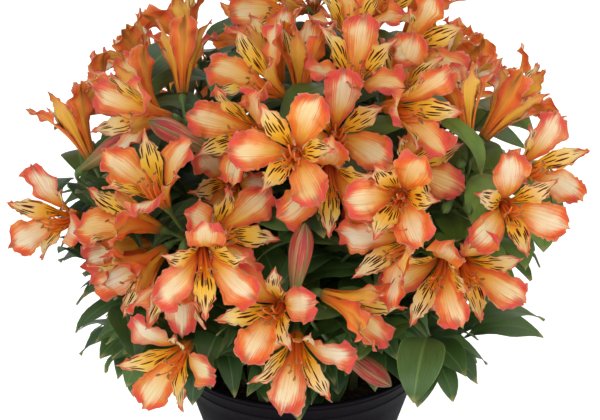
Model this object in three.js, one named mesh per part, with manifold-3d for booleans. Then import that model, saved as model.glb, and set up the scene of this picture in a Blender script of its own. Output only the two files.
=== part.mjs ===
// A Peruvian lily in a black nursery pot: a pot, its soil, flowering shoots with their leaves and
// flower stalks, leafy shoots that hang over the rim, and open blooms of six tepals each.
// Millimetres, +Z up. The origin is the centre of the pot's underside, and the front is towards -Y.
import * as THREE from 'three';
import { mergeVertices } from 'three/addons/utils/BufferGeometryUtils.js';
import Module from 'manifold-3d';

const wasm = await Module();
wasm.setup();

// Driving dimensions
const GAP = 0.3; // between pieces that rest on each other
const GRIDS = [0.002, 0.004, 0.008, 0.016, 0.032]; // the finest that leaves a fused mesh closed is taken
const FOLD_GAP = 0.03;
const SLIVER = 0.02; // faces thinner than this are smoothed out of a fused mesh
const CLEARANCE = 0.4; // kept round stems, stalks and leaves when they are bent clear of the rest
const CROSSING = 1e-6; // the smallest shared volume that counts
const FIRM_CROSSING = 0.8; // blooms that share less than this would hang together by a thread
const LOOSE_COST = 0.5; // of a bloom that is clear of the rest, against 1 for each that it only grazes

const POT = {
  height: 120, rimRadius: 88, rimDepth: 1.2, baseRadius: 48, wall: 2.2, collarHeight: 17, collarOut: 2.4,
  footWidth: 6, footHeight: 1.5, bossRadius: 18, sides: 24,
};
const DRAIN_HOLES = { count: 4, radius: 4, ringRadius: 32, sides: 6 };
const SOIL = {
  top: 106, edgeDrop: 6, edgeWidth: 5, mound: 5, moundRadius: 34, moundShare: 0.7, sides: 16,
  holeDepth: 12, holeMargin: 2.4, holeSides: 4,
};

const DOME = { centre: new THREE.Vector3(0, 0, 222), radii: new THREE.Vector3(166, 148, 124) };
const EYE = { elevation: 25, distance: 1100, target: new THREE.Vector3(0, 0, 215) };
const HEART = new THREE.Vector3(0, 0, 150); // the shoots fan out from about here

// Rows are shares of the length with shares of the half width.
const OUTER_TEPAL = {
  length: 52, halfWidth: 10.8, cup: 0.1, wave: 0.12, rows: [[0.24, 0.27], [0.64, 1], [0.88, 0.78]],
};
const INNER_TEPAL = { length: 49, halfWidth: 6.2, cup: 0.16, wave: 0.06, rows: [[0.62, 1]] };
const TEPAL_TURN = { first: 6, outerShut: 18, outerOpen: 66, innerShut: 14, innerOpen: 46 };
const TEPAL_SHARE = { shut: 0.46, perOpen: 0.92 }; // of the full width, at most 1: a bloom that opens unfolds
const TEPAL_VARIES = { length: 0.06, turn: 8 };
const TEPAL_THICKNESS = 1.2; // along the midrib
const TUBE = { radius: 2.8, footRadius: 2.6, throatRadius: 2.3, throatHeight: 3.5 };
const MOUTH = { shut: 35, perOpen: -19 }; // from a bloom's base to the point it is placed by
const CROWDING = { bloomRadius: 23, perOpen: 11, closeness: 0.62, share: 0.3, rounds: 30, most: 26 };

const STALK = { radius: 1.1, sides: 3, sunk: 1.5, apart: 1.2 };
const OVARY = { length: 9, radius: 2.9 };
const BUD = {
  length: 42, radius: 6.6, sides: 5, belowOpenness: 0.2,
  shape: [[0, 0.38], [0.4, 0.86], [0.75, 1], [1, 0.15]],
};
const UMBEL_DEPTH = 24; // from the flowers' bases in to where their stalks meet
const STEM = {
  radius: 2.4, tipRadius: 1.8, sides: 4, turns: [0.4, 0.7, 1], drawnIn: 0.38, rise: 0.4,
  archingRise: 0.8, archesBelow: 165, leafyNod: 0.3, rootsApart: 1.5,
};

const LEAF = { thickness: 1.0, fold: 0.16 };
const LEAF_VARIES = { pitch: 20, droop: 30, length: 0.3, width: 0.2 };
const GOLDEN_ANGLE = 137.5;
const SEED_ANGLE = 50;
const LEAFY_SEED = 40;
const FLOWERING_LEAVES = {
  count: 6, from: 0.32, to: 0.97, length: 64, halfWidth: 9, pitch: 25, droop: 55,
  rows: [[0.25, 0.8], [0.62, 0.96]],
};
const LEAFY_LEAVES = {
  count: 6, from: 0.48, to: 0.99, length: 50, halfWidth: 13, pitch: 10, droop: 75,
  rows: [[0.14, 0.46], [0.45, 1], [0.78, 0.68]],
};

const COLOURS = { pot: 0x17161a, soil: 0x2e2119, shoot: 0x3f6b2c, bloom: 0xee8a52 };
const ROUGHNESS = { pot: 0.55, soil: 0.95, shoot: 0.6, bloom: 0.55 };

// Each umbel's blooms as they are seen from its side: at = millimetres right and up from the middle
// of the view, lift = millimetres in front of the dome, face = how far the bloom looks right and up
// (of a unit vector), roll = where its first outer tepal points, open = 0 a bud to 1 flat.
const UMBELS = {
  left_front: { side: 'front', blooms: [
    { at: [-114, -4], lift: 4, face: [-0.8, 0.3], roll: 90, open: 0.62 },
    { at: [-118, -25], lift: -10, face: [-0.92, -0.08], roll: 75, open: 0.5 },
    { at: [-105, -41], lift: 4, face: [-0.62, -0.6], roll: 60, open: 0.62 },
    { at: [-81, -54], lift: 0, face: [-0.12, -0.88], roll: 30, open: 0.45 },
    { at: [-62, -34], lift: 24, face: [0.1, -0.4], roll: 90, open: 0.8 },
    { at: [-49, -14], lift: -4, face: [0.45, 0.1], roll: 50, open: 0.8 },
    { at: [-95, 17], lift: 6, face: [-0.25, 0.55], roll: 40, open: 0.72 },
  ] },
  left: { side: 'front', blooms: [
    { at: [-158, -4], lift: 0, face: [-0.5, 0], roll: 100, open: 0.8 },
    { at: [-148, 60], lift: -10, face: [-0.42, 0.9], roll: 60, open: 0.36, away: true },
    { at: [-114, 45], lift: 4, face: [0.8, 0.5], roll: 0, open: 0.12 },
  ] },
  upper_left: { side: 'front', blooms: [
    { at: [-109, 84], lift: 0, face: [-0.58, 0.8], roll: 40, open: 0.4 },
    { at: [-77, 104], lift: -20, face: [-0.03, 0.98], roll: 90, open: 0.36, away: true },
    { at: [-105, 62], lift: 10, face: [-0.8, 0.05], roll: 30, open: 0.7 },
    { at: [-90, 54], lift: 20, face: [-0.85, 0.42], roll: 0, open: 0.12 },
  ] },
  middle_left: { side: 'front', blooms: [
    { at: [-25, 86], lift: 0, face: [-0.6, 0.45], roll: 60, open: 0.8 },
    { at: [-38, 52], lift: 4, face: [-0.55, 0], roll: 40, open: 0.7 },
    { at: [-5, 38], lift: 12, face: [-0.15, 0.02], roll: 60, open: 0.95 },
    { at: [-46, 15], lift: -30, face: [-0.1, -0.2], roll: 90, open: 0.55 },
  ] },
  middle_top: { side: 'front', blooms: [
    { at: [-19, 108], lift: -6, face: [-0.2, 0.93], roll: 90, open: 0.5 },
    { at: [1, 104], lift: 12, face: [0.03, 0.97], roll: 60, open: 0.36 },
    { at: [36, 90], lift: 6, face: [0.05, 0.5], roll: 80, open: 0.8 },
  ] },
  centre: { side: 'front', blooms: [
    { at: [24, 51], lift: 16, face: [0.1, 0.1], roll: 100, open: 0.95 },
    { at: [19, 20], lift: 10, face: [0, -0.5], roll: 90, open: 0.9 },
  ] },
  top: { side: 'front', blooms: [
    { at: [-12, 132], lift: 0, face: [-0.7, 0], roll: 60, open: 0.8 },
    { at: [9, 140], lift: -30, face: [0, 0.6], roll: 90, open: 0.9 },
    { at: [34, 122], lift: 0, face: [0.02, 0.7], roll: 90, open: 0.75 },
    { at: [54, 132], lift: -10, face: [0.35, 0.5], roll: 70, open: 0.8 },
  ] },
  upper_right: { side: 'front', blooms: [
    { at: [81, 136], lift: -20, face: [0.45, 0.88], roll: 30, open: 0.4 },
    { at: [75, 107], lift: 6, face: [0.6, 0.15], roll: 80, open: 0.85 },
    { at: [66, 83], lift: -10, face: [0.25, 0.65], roll: 70, open: 0.6 },
    { at: [72, 66], lift: 4, face: [0.65, -0.1], roll: 60, open: 0.7 },
  ] },
  right: { side: 'front', blooms: [
    { at: [106, 78], lift: 0, face: [-0.12, 0.98], roll: 40, open: 0.42 },
    { at: [136, 68], lift: -10, face: [0.62, 0.77], roll: 30, open: 0.42, away: true },
    { at: [152, 29], lift: 0, face: [0.5, 0.2], roll: 70, open: 0.85 },
    { at: [137, 2], lift: 10, face: [0.15, -0.1], roll: 100, open: 0.9 },
  ] },
  middle_right: { side: 'front', blooms: [
    { at: [73, 29], lift: -24, face: [0.45, 0.1], roll: 80, open: 0.75 },
    { at: [64, 8], lift: 18, face: [-0.15, -0.1], roll: 60, open: 0.6 },
  ] },
  lower_right: { side: 'front', blooms: [
    { at: [89, -41], lift: 8, face: [-0.3, -0.45], roll: 60, open: 0.8 },
    { at: [111, -39], lift: 2, face: [0.25, -0.35], roll: 90, open: 0.85 },
    { at: [62, -24], lift: 0, face: [-0.7, -0.35], roll: 30, open: 0.7 },
    { at: [55, -4], lift: -6, face: [-0.85, 0], roll: 70, open: 0.5 },
  ] },
  lower_middle: { side: 'front', blooms: [
    { at: [40, -64], lift: 10, face: [0.85, -0.3], roll: 60, open: 0.5 },
    { at: [-18, -64], lift: 8, face: [-0.3, -0.05], roll: 105, open: 0.88 },
    { at: [-2, -92], lift: 14, face: [0.02, -0.5], roll: 40, open: 0.9 },
    { at: [52, -109], lift: 14, face: [0.78, -0.55], roll: 0, open: 0.12 },
    { at: [2, -18], lift: 8, face: [0.15, 0.95], roll: 0, open: 0.12 },
  ] },
  lower_left: { side: 'front', blooms: [
    { at: [-81, -95], lift: 14, face: [-0.4, -0.35], roll: 95, open: 0.95 },
  ] },
  far_left: { side: 'left', blooms: [
    { at: [-22, 10], lift: 0, face: [-0.1, 0.1], roll: 80, open: 0.85 },
    { at: [-58, 40], lift: -10, face: [-0.2, 0.3], roll: 30, open: 0.8 },
  ] },
  far_right: { side: 'right', blooms: [
    { at: [16, 6], lift: -6, face: [0.1, 0], roll: 80, open: 0.85 },
    { at: [52, 36], lift: -12, face: [0.2, 0.3], roll: 40, open: 0.8 },
  ] },
  back_left: { side: 'back', blooms: [
    { at: [-128, 10], lift: 0, face: [-0.6, 0], roll: 90, open: 0.85 },
    { at: [-96, -28], lift: 0, face: [-0.3, -0.45], roll: 60, open: 0.8 },
    { at: [-100, 42], lift: 0, face: [-0.4, 0.5], roll: 30, open: 0.75 },
  ] },
  back_right: { side: 'back', blooms: [
    { at: [122, 22], lift: 0, face: [0.6, 0.2], roll: 70, open: 0.85 },
    { at: [92, -22], lift: 0, face: [0.25, -0.4], roll: 90, open: 0.85 },
    { at: [88, 66], lift: 0, face: [0.45, 0.6], roll: 30, open: 0.7 },
  ] },
  back_middle: { side: 'back', blooms: [
    { at: [-34, 34], lift: 4, face: [-0.2, 0.15], roll: 80, open: 0.9 },
    { at: [36, 18], lift: 4, face: [0.2, -0.1], roll: 100, open: 0.9 },
    { at: [4, -28], lift: 0, face: [0, -0.5], roll: 60, open: 0.8 },
  ] },
  back_top: { side: 'back', blooms: [
    { at: [-34, 84], lift: 4, face: [-0.35, 0.65], roll: 60, open: 0.8 },
    { at: [28, 84], lift: 4, face: [0.25, 0.65], roll: 90, open: 0.85 },
  ] },
};

// Clumps of leafy shoots without flowers, which rise from one root, by where their tips are seen.
const LEAFY_CLUMPS = {
  leafy_right: [{ side: 'front', at: [84, -84], lift: 4 }, { side: 'front', at: [112, -66], lift: -20 }],
  leafy_left: [{ side: 'front', at: [-54, -96], lift: 6 }, { side: 'front', at: [-118, -62], lift: -20 }],
  leafy_middle: [{ side: 'front', at: [-22, -98], lift: -24 }],
  leafy_side_left: [{ side: 'left', at: [10, -60], lift: -10 }],
  leafy_side_right: [{ side: 'right', at: [10, -70], lift: -10 }],
  leafy_back: [{ side: 'back', at: [-64, -80], lift: 0 }, { side: 'back', at: [56, -84], lift: 0 }],
};
const SIDES = { front: 0, right: 90, back: 180, left: 270 };

// What a stem, a stalk or a leaf tries in turn until it is clear of the rest.
const STEM_LEANS = [0, 14, -14, 28, -28, 44, -44, 60, -60];
const STEM_BENDS = [0, 9, -9].flatMap(step => STEM_LEANS.flatMap(lean => [0, 0.2, -0.2]
  .flatMap(rise => [0.35, 0.15, 0.6].map(tail => ({ step, lean, rise, tail })))));
const STALK_SWINGS = [0, 60, 120, 180, 240, 300];
const STALK_BENDS = [0, 8, 16, 26].flatMap(aside => (aside ? STALK_SWINGS : [0])
  .flatMap(swing => [18, 12, 26].flatMap(arrival => [9, 16]
    .map(depart => ({ aside, swing, arrival, depart })))));
const ROLLS = [0, 5, -5, 10, -10, 15, -15, 20, -20, 25, -25, 30];
const TURNS = [0, 30, -30, 60, -60, 90, -90, 130, -130];
const LEAF_TURNS = [0, 18, -18].flatMap(lift => TURNS.map(turn => ({ lift, turn })));

const DEG = Math.PI / 180;
const UP = new THREE.Vector3(0, 0, 1);
const vec = (x, y, z) => new THREE.Vector3(x, y, z);

// A repeatable number from 0 to 1 for each n.
const chance = n => {
  const s = Math.sin(n * 12.9898) * 43758.5453;
  return s - Math.floor(s);
};

// Closed meshes from rings of points
class Shell {
  constructor() {
    this.points = [];
    this.faces = [];
  }
  add(point) {
    return this.points.push(point.x, point.y, point.z) / 3 - 1;
  }
  tri(a, b, c) {
    this.faces.push(a, b, c);
  }
  quad(a, b, c, d) {
    this.tri(a, b, c);
    this.tri(a, c, d);
  }
  close(ring, reversed) {
    for (let i = 1; i < ring.length - 1; i++) {
      if (reversed) this.tri(ring[0], ring[i + 1], ring[i]);
      else this.tri(ring[0], ring[i], ring[i + 1]);
    }
  }
  band(low, high) {
    low.forEach((_, i) => {
      const j = (i + 1) % low.length;
      this.quad(low[i], low[j], high[j], high[i]);
    });
  }
  solid() {
    const made = new THREE.BufferGeometry();
    made.setAttribute('position', new THREE.Float32BufferAttribute(this.points, 3));
    made.setIndex(this.faces);
    return solidOf(made);
  }
}

function solidOf(geometry) {
  const bare = new THREE.BufferGeometry();
  bare.setAttribute('position', geometry.getAttribute('position'));
  bare.setIndex(geometry.index);
  const merged = mergeVertices(bare, 1e-4);
  return new wasm.Manifold(new wasm.Mesh({
    numProp: 3,
    vertProperties: merged.attributes.position.array,
    triVerts: new Uint32Array(merged.index.array),
  }));
}

// The corners of a fused mesh. Where two of its folds only touch, one is drawn in by a hair.
function cornersOf(mesh) {
  const at = i => vec(...mesh.vertProperties.subarray(i * mesh.numProp, i * mesh.numProp + 3));
  const inward = Array.from({ length: mesh.numVert }, () => vec(0, 0, 0));
  for (let i = 0; i < mesh.triVerts.length; i += 3) {
    const [a, b, c] = [0, 1, 2].map(n => mesh.triVerts[i + n]);
    const normal = at(b).sub(at(a)).cross(at(c).sub(at(a)));
    [a, b, c].forEach(corner => inward[corner].sub(normal));
  }
  const taken = new Set();
  return inward.map((direction, i) => {
    const corner = at(i);
    const key = corner.toArray().map(value => value.toFixed(4)).join();
    if (taken.has(key)) corner.add(direction.setLength(FOLD_GAP));
    taken.add(key);
    return corner;
  });
}

// A fused mesh on a grid, without the slivers that collapse there
function snapped(mesh, corners, grid) {
  const places = new Map();
  const points = [];
  const ids = corners.map(corner => {
    const at = corner.toArray().map(value => Math.round(value / grid) * grid);
    const key = at.map(value => value.toFixed(3)).join();
    if (!places.has(key)) {
      places.set(key, places.size);
      points.push(...at);
    }
    return places.get(key);
  });
  const faces = [];
  for (let i = 0; i < mesh.triVerts.length; i += 3) {
    const [a, b, c] = [0, 1, 2].map(n => ids[mesh.triVerts[i + n]]);
    if (a !== b && b !== c && c !== a) faces.push(a, b, c);
  }
  return { points, faces };
}

// True where each edge has one face on either side
function isClosed({ faces }) {
  const edges = new Set();
  for (let i = 0; i < faces.length; i += 3) {
    [0, 1, 2].forEach(n => edges.add(`${faces[i + n]},${faces[i + (n + 1) % 3]}`));
  }
  if (edges.size !== faces.length) return false;
  return [...edges].every(edge => edges.has(edge.split(',').reverse().join()));
}

function geometryOf(solid) {
  const fused = solid.simplify(SLIVER).getMesh();
  const corners = cornersOf(fused);
  const mesh = GRIDS.map(grid => snapped(fused, corners, grid)).find(isClosed);
  const made = new THREE.BufferGeometry();
  made.setAttribute('position', new THREE.Float32BufferAttribute(mesh.points, 3));
  made.setIndex(mesh.faces);
  made.computeVertexNormals();
  return made;
}

const crossing = (solid, others) => others.reduce((sum, other) => sum + solid.intersect(other).volume(), 0);

// The first variant whose test solid is clear of the others, or else the one that crosses them least.
function clearest(variants, testOf, others) {
  let best = null;
  for (const variant of variants) {
    const volume = crossing(testOf(variant), others);
    if (!best || volume < best.volume) best = { variant, volume };
    if (volume < CROSSING) break;
  }
  return best;
}

// The largest body of a solid, without loose scraps or sealed hollows
const mainBody = solid => solid.decompose().reduce((a, b) => (b.volume() > a.volume() ? b : a));

// Where things are, from how they are seen
function viewOf(side) {
  const sin = Math.sin(EYE.elevation * DEG);
  const cos = Math.cos(EYE.elevation * DEG);
  const axes = { right: vec(1, 0, 0), up: vec(0, sin, cos), towards: vec(0, -cos, sin) };
  Object.values(axes).forEach(axis => axis.applyAxisAngle(UP, SIDES[side] * DEG));
  return axes;
}

const eyeOf = side => EYE.target.clone().addScaledVector(viewOf(side).towards, EYE.distance);

function placeOf({ side, at, lift }) {
  const view = viewOf(side);
  const eye = eyeOf(side);
  const seen = EYE.target.clone().addScaledVector(view.right, at[0]).addScaledVector(view.up, at[1]);
  const ray = seen.sub(eye).normalize();
  const from = eye.clone().sub(DOME.centre).divide(DOME.radii);
  const step = ray.clone().divide(DOME.radii);
  const a = step.dot(step);
  const b = step.dot(from);
  const c = from.dot(from) - 1;
  const reach = (-b - Math.sqrt(Math.max(0, b * b - a * c))) / a;
  return eye.addScaledVector(ray, reach - lift);
}

function facingOf({ side, face, away }) {
  const view = viewOf(side);
  const depth = Math.sqrt(Math.max(0, 1 - face[0] ** 2 - face[1] ** 2)) * (away ? -1 : 1);
  return view.right.clone().multiplyScalar(face[0])
    .addScaledVector(view.up, face[1])
    .addScaledVector(view.towards, depth)
    .normalize();
}

// Blooms that crowd each other are moved apart along their lines of sight.
function spreadApart(blooms) {
  const places = blooms.map(bloom => ({
    bloom,
    radius: CROWDING.bloomRadius + CROWDING.perOpen * bloom.open,
    towards: eyeOf(bloom.side).sub(bloom.place).normalize(),
    moved: 0,
  }));
  for (let round = 0; round < CROWDING.rounds; round++) {
    places.forEach((a, i) => places.slice(i + 1).forEach(b => {
      const between = b.bloom.place.clone().sub(a.bloom.place);
      const short = (a.radius + b.radius) * CROWDING.closeness - between.length();
      if (short <= 0) return;
      [[a, -1], [b, 1]].forEach(([one, way]) => {
        const ahead = between.dot(one.towards) * way;
        const step = Math.sign(ahead || 1) * short * CROWDING.share;
        const moved = Math.min(CROWDING.most, Math.max(-CROWDING.most, one.moved + step));
        one.bloom.place.addScaledVector(one.towards, moved - one.moved);
        one.moved = moved;
      });
    }));
  }
}

// One bloom: a short tube whose six sides run on as tepals
function tepalsOf(bloom) {
  return Array.from({ length: 6 }, (_, i) => {
    const outer = i % 2 === 0;
    const size = outer ? OUTER_TEPAL : INNER_TEPAL;
    const vary = chance(bloom.seed * 7 + i) - 0.5;
    const length = size.length * (1 + TEPAL_VARIES.length * vary);
    const first = TEPAL_TURN.first * DEG;
    const turned = outer ? TEPAL_TURN.outerShut + TEPAL_TURN.outerOpen * bloom.open
      : TEPAL_TURN.innerShut + TEPAL_TURN.innerOpen * bloom.open;
    const last = (turned + TEPAL_VARIES.turn * vary) * DEG;
    const bend = (last - first) / length;
    const at = share => {
      const angle = first + bend * share * length;
      return {
        radius: TUBE.radius + (Math.cos(first) - Math.cos(angle)) / bend,
        height: (Math.sin(angle) - Math.sin(first)) / bend,
        angle,
      };
    };
    const halfWidth = size.halfWidth * Math.min(1, TEPAL_SHARE.shut + TEPAL_SHARE.perOpen * bloom.open);
    return { ...size, halfWidth, azimuth: (bloom.roll + 60 * i) * DEG, at };
  });
}

function bloomSolid(bloom) {
  const shell = new Shell();
  const across = viewOf(bloom.side).up.clone().cross(bloom.facing).normalize();
  const upright = bloom.facing.clone().cross(across);
  const add = (radius, height, azimuth, aside = 0) => {
    const cos = Math.cos(azimuth);
    const sin = Math.sin(azimuth);
    return shell.add(bloom.base.clone()
      .addScaledVector(bloom.facing, height)
      .addScaledVector(across, radius * cos - aside * sin)
      .addScaledVector(upright, radius * sin + aside * cos));
  };
  const tepals = tepalsOf(bloom);
  const ring = (radius, height) => tepals.map(tepal => add(radius, height, tepal.azimuth - 30 * DEG));
  const foot = ring(TUBE.footRadius, 0);
  const throat = ring(TUBE.throatRadius, TUBE.throatHeight);
  shell.close(foot, true);
  shell.close(throat, false);
  tepals.forEach((tepal, i) => {
    const j = (i + 1) % 6;
    const point = (share, aside, lift) => {
      const { radius, height, angle } = tepal.at(share);
      return add(radius - lift * Math.cos(angle), height + lift * Math.sin(angle), tepal.azimuth, aside);
    };
    const rows = tepal.rows.map(([share, width], n) => {
      const half = tepal.halfWidth * width;
      const ripple = tepal.wave * half * (n % 2 ? 1 : -1);
      const dip = -tepal.cup * half;
      return {
        left: point(share, -half, ripple),
        right: point(share, half, -ripple),
        front: point(share, 0, dip + TEPAL_THICKNESS / 2),
        back: point(share, 0, dip - TEPAL_THICKNESS / 2),
      };
    });
    const first = rows[0];
    shell.tri(foot[i], foot[j], first.back);
    shell.tri(foot[i], first.back, first.left);
    shell.tri(foot[j], first.right, first.back);
    shell.tri(throat[i], first.front, throat[j]);
    shell.tri(throat[i], first.left, first.front);
    shell.tri(throat[j], first.front, first.right);
    shell.tri(foot[i], first.left, throat[i]);
    shell.tri(foot[j], throat[j], first.right);
    rows.slice(1).forEach((row, n) => {
      const last = rows[n];
      shell.quad(last.left, last.back, row.back, row.left);
      shell.quad(last.back, last.right, row.right, row.back);
      shell.quad(last.left, row.left, row.front, last.front);
      shell.quad(last.front, row.front, row.right, last.right);
    });
    const end = rows[rows.length - 1];
    const tip = point(1, 0, 0);
    const loop = [end.left, end.back, end.right, end.front];
    loop.forEach((corner, n) => shell.tri(corner, loop[(n + 1) % 4], tip));
  });
  return shell.solid();
}

// Stems, stalks and buds
// A tube with flat ends along a curve: each station is a share of the curve and a radius.
function sweepSolid(curve, stations, sides) {
  const shell = new Shell();
  const start = curve.getTangentAt(stations[0][0]);
  let across = Math.abs(start.x) > 0.9 ? vec(0, 1, 0) : vec(1, 0, 0);
  const rings = stations.map(([t, radius]) => {
    const tangent = curve.getTangentAt(t);
    across = across.clone().addScaledVector(tangent, -across.dot(tangent)).normalize();
    const other = tangent.clone().cross(across);
    const centre = curve.getPointAt(t);
    return Array.from({ length: sides }, (_, i) => {
      const angle = 2 * Math.PI * i / sides;
      return shell.add(centre.clone()
        .addScaledVector(across, radius * Math.cos(angle))
        .addScaledVector(other, radius * Math.sin(angle)));
    });
  });
  shell.close(rings[0], true);
  rings.slice(1).forEach((ring, i) => shell.band(rings[i], ring));
  shell.close(rings[rings.length - 1], false);
  return shell.solid();
}

function stemCurve(shoot, bend) {
  const { head, outward } = shoot;
  const sideways = UP.clone().cross(outward).normalize();
  const root = shoot.root.clone().addScaledVector(sideways, bend.step);
  const height = head.distanceTo(root);
  const aside = sideways.clone().multiplyScalar(bend.lean);
  return new THREE.CubicBezierCurve3(
    root,
    root.clone().addScaledVector(UP, (shoot.straight + bend.rise) * height),
    head.clone().addScaledVector(outward, -bend.tail * height).add(aside),
    head,
  );
}

function stemSolid(curve, more = 0) {
  const outOfSoil = (SOIL.holeDepth + SOIL.mound) / curve.getLength();
  const stations = [0, outOfSoil, ...STEM.turns].map(
    t => [t, STEM.radius + (STEM.tipRadius - STEM.radius) * t + more],
  );
  return sweepSolid(curve, stations, STEM.sides);
}

function stalkSolid(shoot, bloom, bend, more = 0) {
  const top = bloom.base.clone().addScaledVector(bloom.facing, -GAP);
  const aside = UP.clone().cross(shoot.outward).normalize().applyAxisAngle(shoot.outward, bend.swing * DEG)
    .multiplyScalar(bend.aside);
  const start = shoot.head.clone().addScaledVector(shoot.outward, -STALK.sunk)
    .add(top.clone().sub(shoot.head).projectOnPlane(shoot.outward).setLength(STALK.apart));
  const curve = new THREE.CubicBezierCurve3(
    start,
    start.clone().addScaledVector(shoot.outward, bend.depart).add(aside),
    top.clone().addScaledVector(bloom.facing, -bend.arrival),
    top,
  );
  const ovary = OVARY.length / curve.getLength();
  return sweepSolid(curve, [
    [0, STALK.radius + more], [1 - ovary, STALK.radius + more], [1, OVARY.radius],
  ], STALK.sides);
}

function budSolid(bloom) {
  const from = bloom.base.clone().addScaledVector(bloom.facing, -1);
  const to = from.clone().addScaledVector(bloom.facing, BUD.length);
  const stations = BUD.shape.map(([t, share]) => [t, share * BUD.radius]);
  return sweepSolid(new THREE.LineCurve3(from, to), stations, BUD.sides);
}

// Leaves
function leafSolid(leaf, more = 0) {
  const shell = new Shell();
  const out = vec(Math.cos(leaf.azimuth), Math.sin(leaf.azimuth), 0);
  const side = vec(-out.y, out.x, 0);
  const bend = leaf.droop / leaf.length;
  const add = (share, aside, lift) => {
    const angle = leaf.pitch - bend * share * leaf.length;
    const level = (Math.sin(leaf.pitch) - Math.sin(angle)) / bend;
    const rise = (Math.cos(angle) - Math.cos(leaf.pitch)) / bend;
    return shell.add(leaf.from.clone()
      .addScaledVector(out, level - lift * Math.sin(angle))
      .addScaledVector(UP, rise + lift * Math.cos(angle))
      .addScaledVector(side, aside));
  };
  const rows = leaf.rows.map(([share, width]) => {
    const half = leaf.halfWidth * width + more;
    return {
      left: add(share, half, LEAF.fold * half),
      right: add(share, -half, LEAF.fold * half),
      top: add(share, 0, LEAF.thickness / 2 + more),
      under: add(share, 0, -LEAF.thickness / 2 - more),
    };
  });
  const root = add(0, 0, 0);
  const tip = add(1 + more / leaf.length, 0, 0);
  const loopOf = row => [row.left, row.top, row.right, row.under];
  loopOf(rows[0]).forEach((corner, i, loop) => shell.tri(corner, root, loop[(i + 1) % 4]));
  rows.slice(1).forEach((row, n) => {
    const last = rows[n];
    shell.quad(last.left, row.left, row.under, last.under);
    shell.quad(last.under, row.under, row.right, last.right);
    shell.quad(last.left, last.top, row.top, row.left);
    shell.quad(last.top, last.right, row.right, row.top);
  });
  loopOf(rows[rows.length - 1]).forEach((corner, i, loop) => shell.tri(corner, loop[(i + 1) % 4], tip));
  return shell.solid();
}

function leafOf(shoot, i, { turn, lift }) {
  const { plan, seed, curve } = shoot;
  const vary = chance(seed * 31 + i);
  return {
    from: curve.getPointAt(plan.from + (plan.to - plan.from) * i / (plan.count - 1)),
    azimuth: (SEED_ANGLE * seed + GOLDEN_ANGLE * i + turn) * DEG,
    pitch: (plan.pitch + LEAF_VARIES.pitch * vary + lift) * DEG,
    droop: (plan.droop + LEAF_VARIES.droop * vary) * DEG,
    length: plan.length * (1 + LEAF_VARIES.length * (vary - 0.5)),
    halfWidth: plan.halfWidth * (1 + LEAF_VARIES.width * (vary - 0.5)),
    rows: plan.rows,
  };
}

// Pot and soil
function latheSolid(profile, sides) {
  const made = new THREE.LatheGeometry(profile.map(([r, z]) => new THREE.Vector2(r, z)), sides);
  made.rotateX(Math.PI / 2);
  return solidOf(made);
}

const collarFoot = POT.height - POT.collarHeight;
const wallFlare = POT.rimRadius - POT.collarOut - POT.rimDepth - POT.baseRadius;
const wallRadius = z => POT.baseRadius + wallFlare * z / POT.height;

// The pot stands on its foot ring and on a boss in the middle of its underside.
function potSolid() {
  const floor = POT.footHeight + POT.wall;
  const foot = POT.baseRadius - POT.footWidth;
  const lip = wallRadius(collarFoot) + POT.collarOut;
  let pot = latheSolid([
    [0, 0], [POT.bossRadius, 0], [POT.bossRadius + 1, POT.footHeight], [foot - 1, POT.footHeight], [foot, 0],
    [POT.baseRadius, 0], [wallRadius(collarFoot), collarFoot], [lip, collarFoot + 1],
    [POT.rimRadius, POT.height], [POT.rimRadius - POT.wall - POT.rimDepth, POT.height],
    [wallRadius(collarFoot) - POT.wall + 1, collarFoot], [wallRadius(floor) - POT.wall, floor], [0, floor],
  ], POT.sides);
  for (let i = 0; i < DRAIN_HOLES.count; i++) {
    const { radius, ringRadius, sides } = DRAIN_HOLES;
    const angle = 2 * Math.PI * i / DRAIN_HOLES.count;
    const hole = new THREE.CylinderGeometry(radius, radius, 6 * POT.wall, sides).rotateX(Math.PI / 2);
    hole.translate(ringRadius * Math.cos(angle), ringRadius * Math.sin(angle), floor - POT.wall / 2);
    pot = pot.subtract(solidOf(hole));
  }
  return pot;
}

function soilSolid(shoots) {
  const low = POT.footHeight + POT.wall + GAP;
  const inside = z => wallRadius(z) - POT.wall - 2 * GAP;
  const edge = SOIL.top - SOIL.edgeDrop;
  let soil = latheSolid([
    [0, low], [inside(low) - 1, low], [inside(edge), edge], [inside(edge) - SOIL.edgeWidth, SOIL.top],
    [SOIL.moundRadius, SOIL.top + SOIL.moundShare * SOIL.mound], [0, SOIL.top + SOIL.mound],
  ], SOIL.sides);
  shoots.forEach(({ curve }) => {
    const root = curve.getPointAt(0);
    const radius = STEM.radius + SOIL.holeMargin;
    const depth = 2 * SOIL.holeDepth + 2 * SOIL.mound;
    const hole = new THREE.CylinderGeometry(radius, radius, depth, SOIL.holeSides).rotateX(Math.PI / 2);
    hole.translate(root.x, root.y, root.z - GAP + depth / 2);
    soil = soil.subtract(solidOf(hole));
  });
  return soil;
}

// The plant: where its blooms and shoots are
const blooms = Object.entries(UMBELS).flatMap(([umbel, { side, blooms: rows }], u) => rows.map((row, i) => {
  const bloom = { ...row, side, umbel, seed: u * 10 + i + 1, name: `${umbel}_${i + 1}` };
  return { ...bloom, place: placeOf(bloom), facing: facingOf(bloom) };
}));
spreadApart(blooms);
blooms.forEach(bloom => {
  bloom.base = bloom.place.clone().addScaledVector(bloom.facing, -(MOUTH.shut + MOUTH.perOpen * bloom.open));
});

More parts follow.
